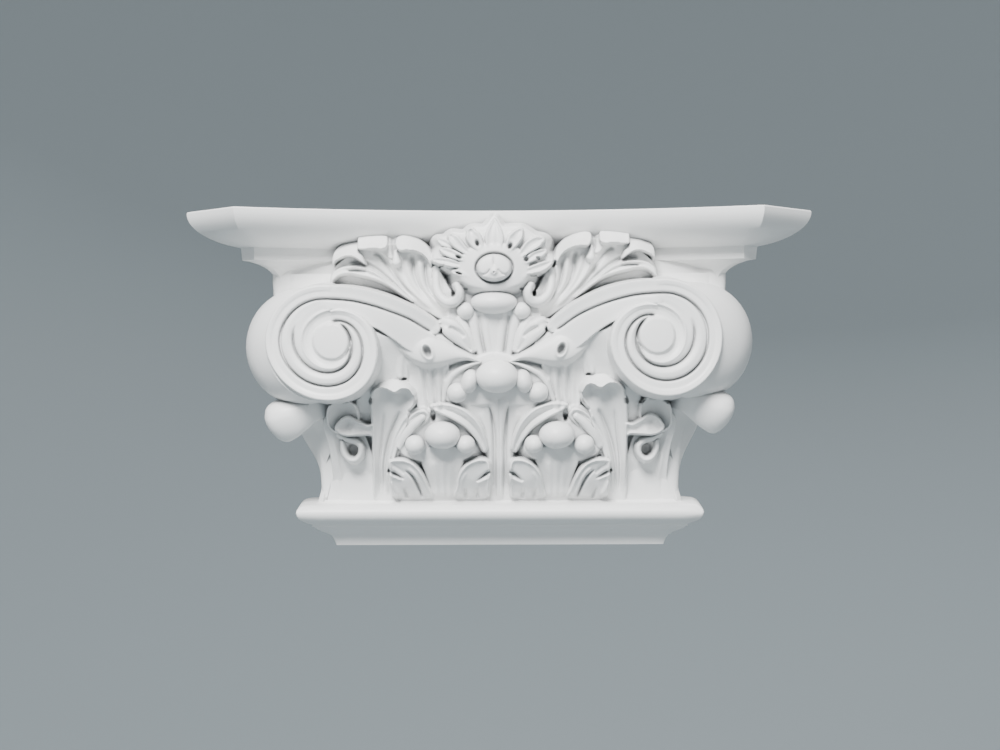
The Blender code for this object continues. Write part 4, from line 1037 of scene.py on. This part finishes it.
def makeStudio():
    # a pale floor that sweeps up all round like a studio cove
    deselect()
    bpy.ops.mesh.primitive_circle_add(vertices=96, radius=studio["flat"], fill_type="NGON",
                                      location=(0, 0, studio["floor"]))
    floor = bpy.context.object
    floor.name = "floor"
    edit(floor)
    bpy.ops.mesh.select_all(action="SELECT")
    turn = math.pi / 2 / studio["steps"]
    for i in range(studio["steps"]):
        angle = math.pi / 2 * (i + 1) / studio["steps"]
        reach = studio["radius"] - (studio["radius"] - studio["flat"]) * (1 - math.sin(angle))
        last = studio["radius"] - (studio["radius"] - studio["flat"]) * (1 - math.sin(angle - turn))
        up = studio["rise"] * (math.cos(angle - turn) - math.cos(angle))
        bpy.ops.mesh.extrude_region_move(TRANSFORM_OT_translate={"value": (0, 0, up)})
        bpy.ops.transform.resize(value=(reach / last, reach / last, 1), center_override=(0, 0, 0))
    bpy.ops.mesh.delete(type="ONLY_FACE")
    bpy.ops.object.mode_set(mode="OBJECT")
    bpy.ops.object.transform_apply(location=True, rotation=True, scale=True)
    bpy.ops.object.shade_smooth()
    finish = Finish("studio floor")
    spot = finish.node("ShaderNodeTexCoord", output="Object")
    cloud = finish.noise(spot, 1.5)
    colour = finish.node("ShaderNodeMix", {"data_type": "RGBA"},
                         {"Factor": cloud * 0.2, 6: studio["tone"], 7: studio["cloud"]}, output=2)
    finish.connect(finish.shader.inputs["Base Color"], colour)
    finish.shader.inputs["Roughness"].default_value = 0.9
    floor.data.materials.append(finish.material)
    print("studio floor made")


worldStrength = 0.15
# name, place in metres, width in metres and power in watts; each points at the capital
lamps = [("key", (-0.28, -1.3, 1.1), 0.6, 84.0), ("fill", (1.2, -1.3, 0.3), 1.2, 5.0),
         ("left fill", (-1.4, -0.9, 0.25), 1.0, 3.0), ("back", (0.3, 1.3, 1.1), 1.2, 26.0)]


def makeLights():
    for name, spot, size, power in lamps:
        data = bpy.data.lights.new(name, "AREA")
        data.shape = "DISK"
        data.size = size
        data.energy = power
        lamp = bpy.data.objects.new(name, data)
        lamp.location = spot
        lamp.rotation_euler = Vector(spot).to_track_quat("Z", "Y").to_euler()
        lamp.visible_camera = False
        bpy.context.scene.collection.objects.link(lamp)
    world = bpy.data.worlds.new("studio")
    world.use_nodes = True
    world.node_tree.nodes["Background"].inputs["Color"].default_value = (1.0, 1.0, 1.0, 1.0)
    world.node_tree.nodes["Background"].inputs["Strength"].default_value = worldStrength
    bpy.context.scene.world = world
    print("lamps:", len(lamps))


# The photo's view: nearly level, straight on, from about 0.77 m
view = {"distance": 770.0, "lens": 55.0, "elevation": 0.37, "roll": -0.18, "target": (0.25, 87.0, 40.0)}


def makeCamera():
    tilt, roll = math.radians(view["elevation"]), math.radians(view["roll"])
    back = Vector((0, -math.cos(tilt), math.sin(tilt)))
    right = Vector((0, 0, 1)).cross(back).normalized()
    up = back.cross(right)
    turned = right * math.cos(roll) + up * math.sin(roll)
    upright = up * math.cos(roll) - right * math.sin(roll)
    data = bpy.data.cameras.new("camera")
    data.sensor_width = 36.0
    data.lens = view["lens"]
    camera = bpy.data.objects.new("camera", data)
    matrix = Matrix((turned, upright, back)).transposed().to_4x4()
    matrix.translation = Vector(place(*view["target"])) + back * view["distance"] * mm
    camera.matrix_world = matrix
    bpy.context.scene.collection.objects.link(camera)
    bpy.context.scene.camera = camera


makeCamera()
makeLights()
makeStudio()
white = makePrimer()
mouldings = [makeBell(), makeBase(), makeAbacus()]
for side in (-1, 1):
    mouldings += [makeBolster(side), makeCurl(side)]
print("mouldings made:", len(mouldings), "forms")
for piece in (joined("mouldings", mouldings), joined("carving", [makeCarving()] + makeBuds())):
    piece.data.materials.clear()
    piece.data.materials.append(white)
    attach(piece, "root")
    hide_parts("capital")
print("capital dressed")
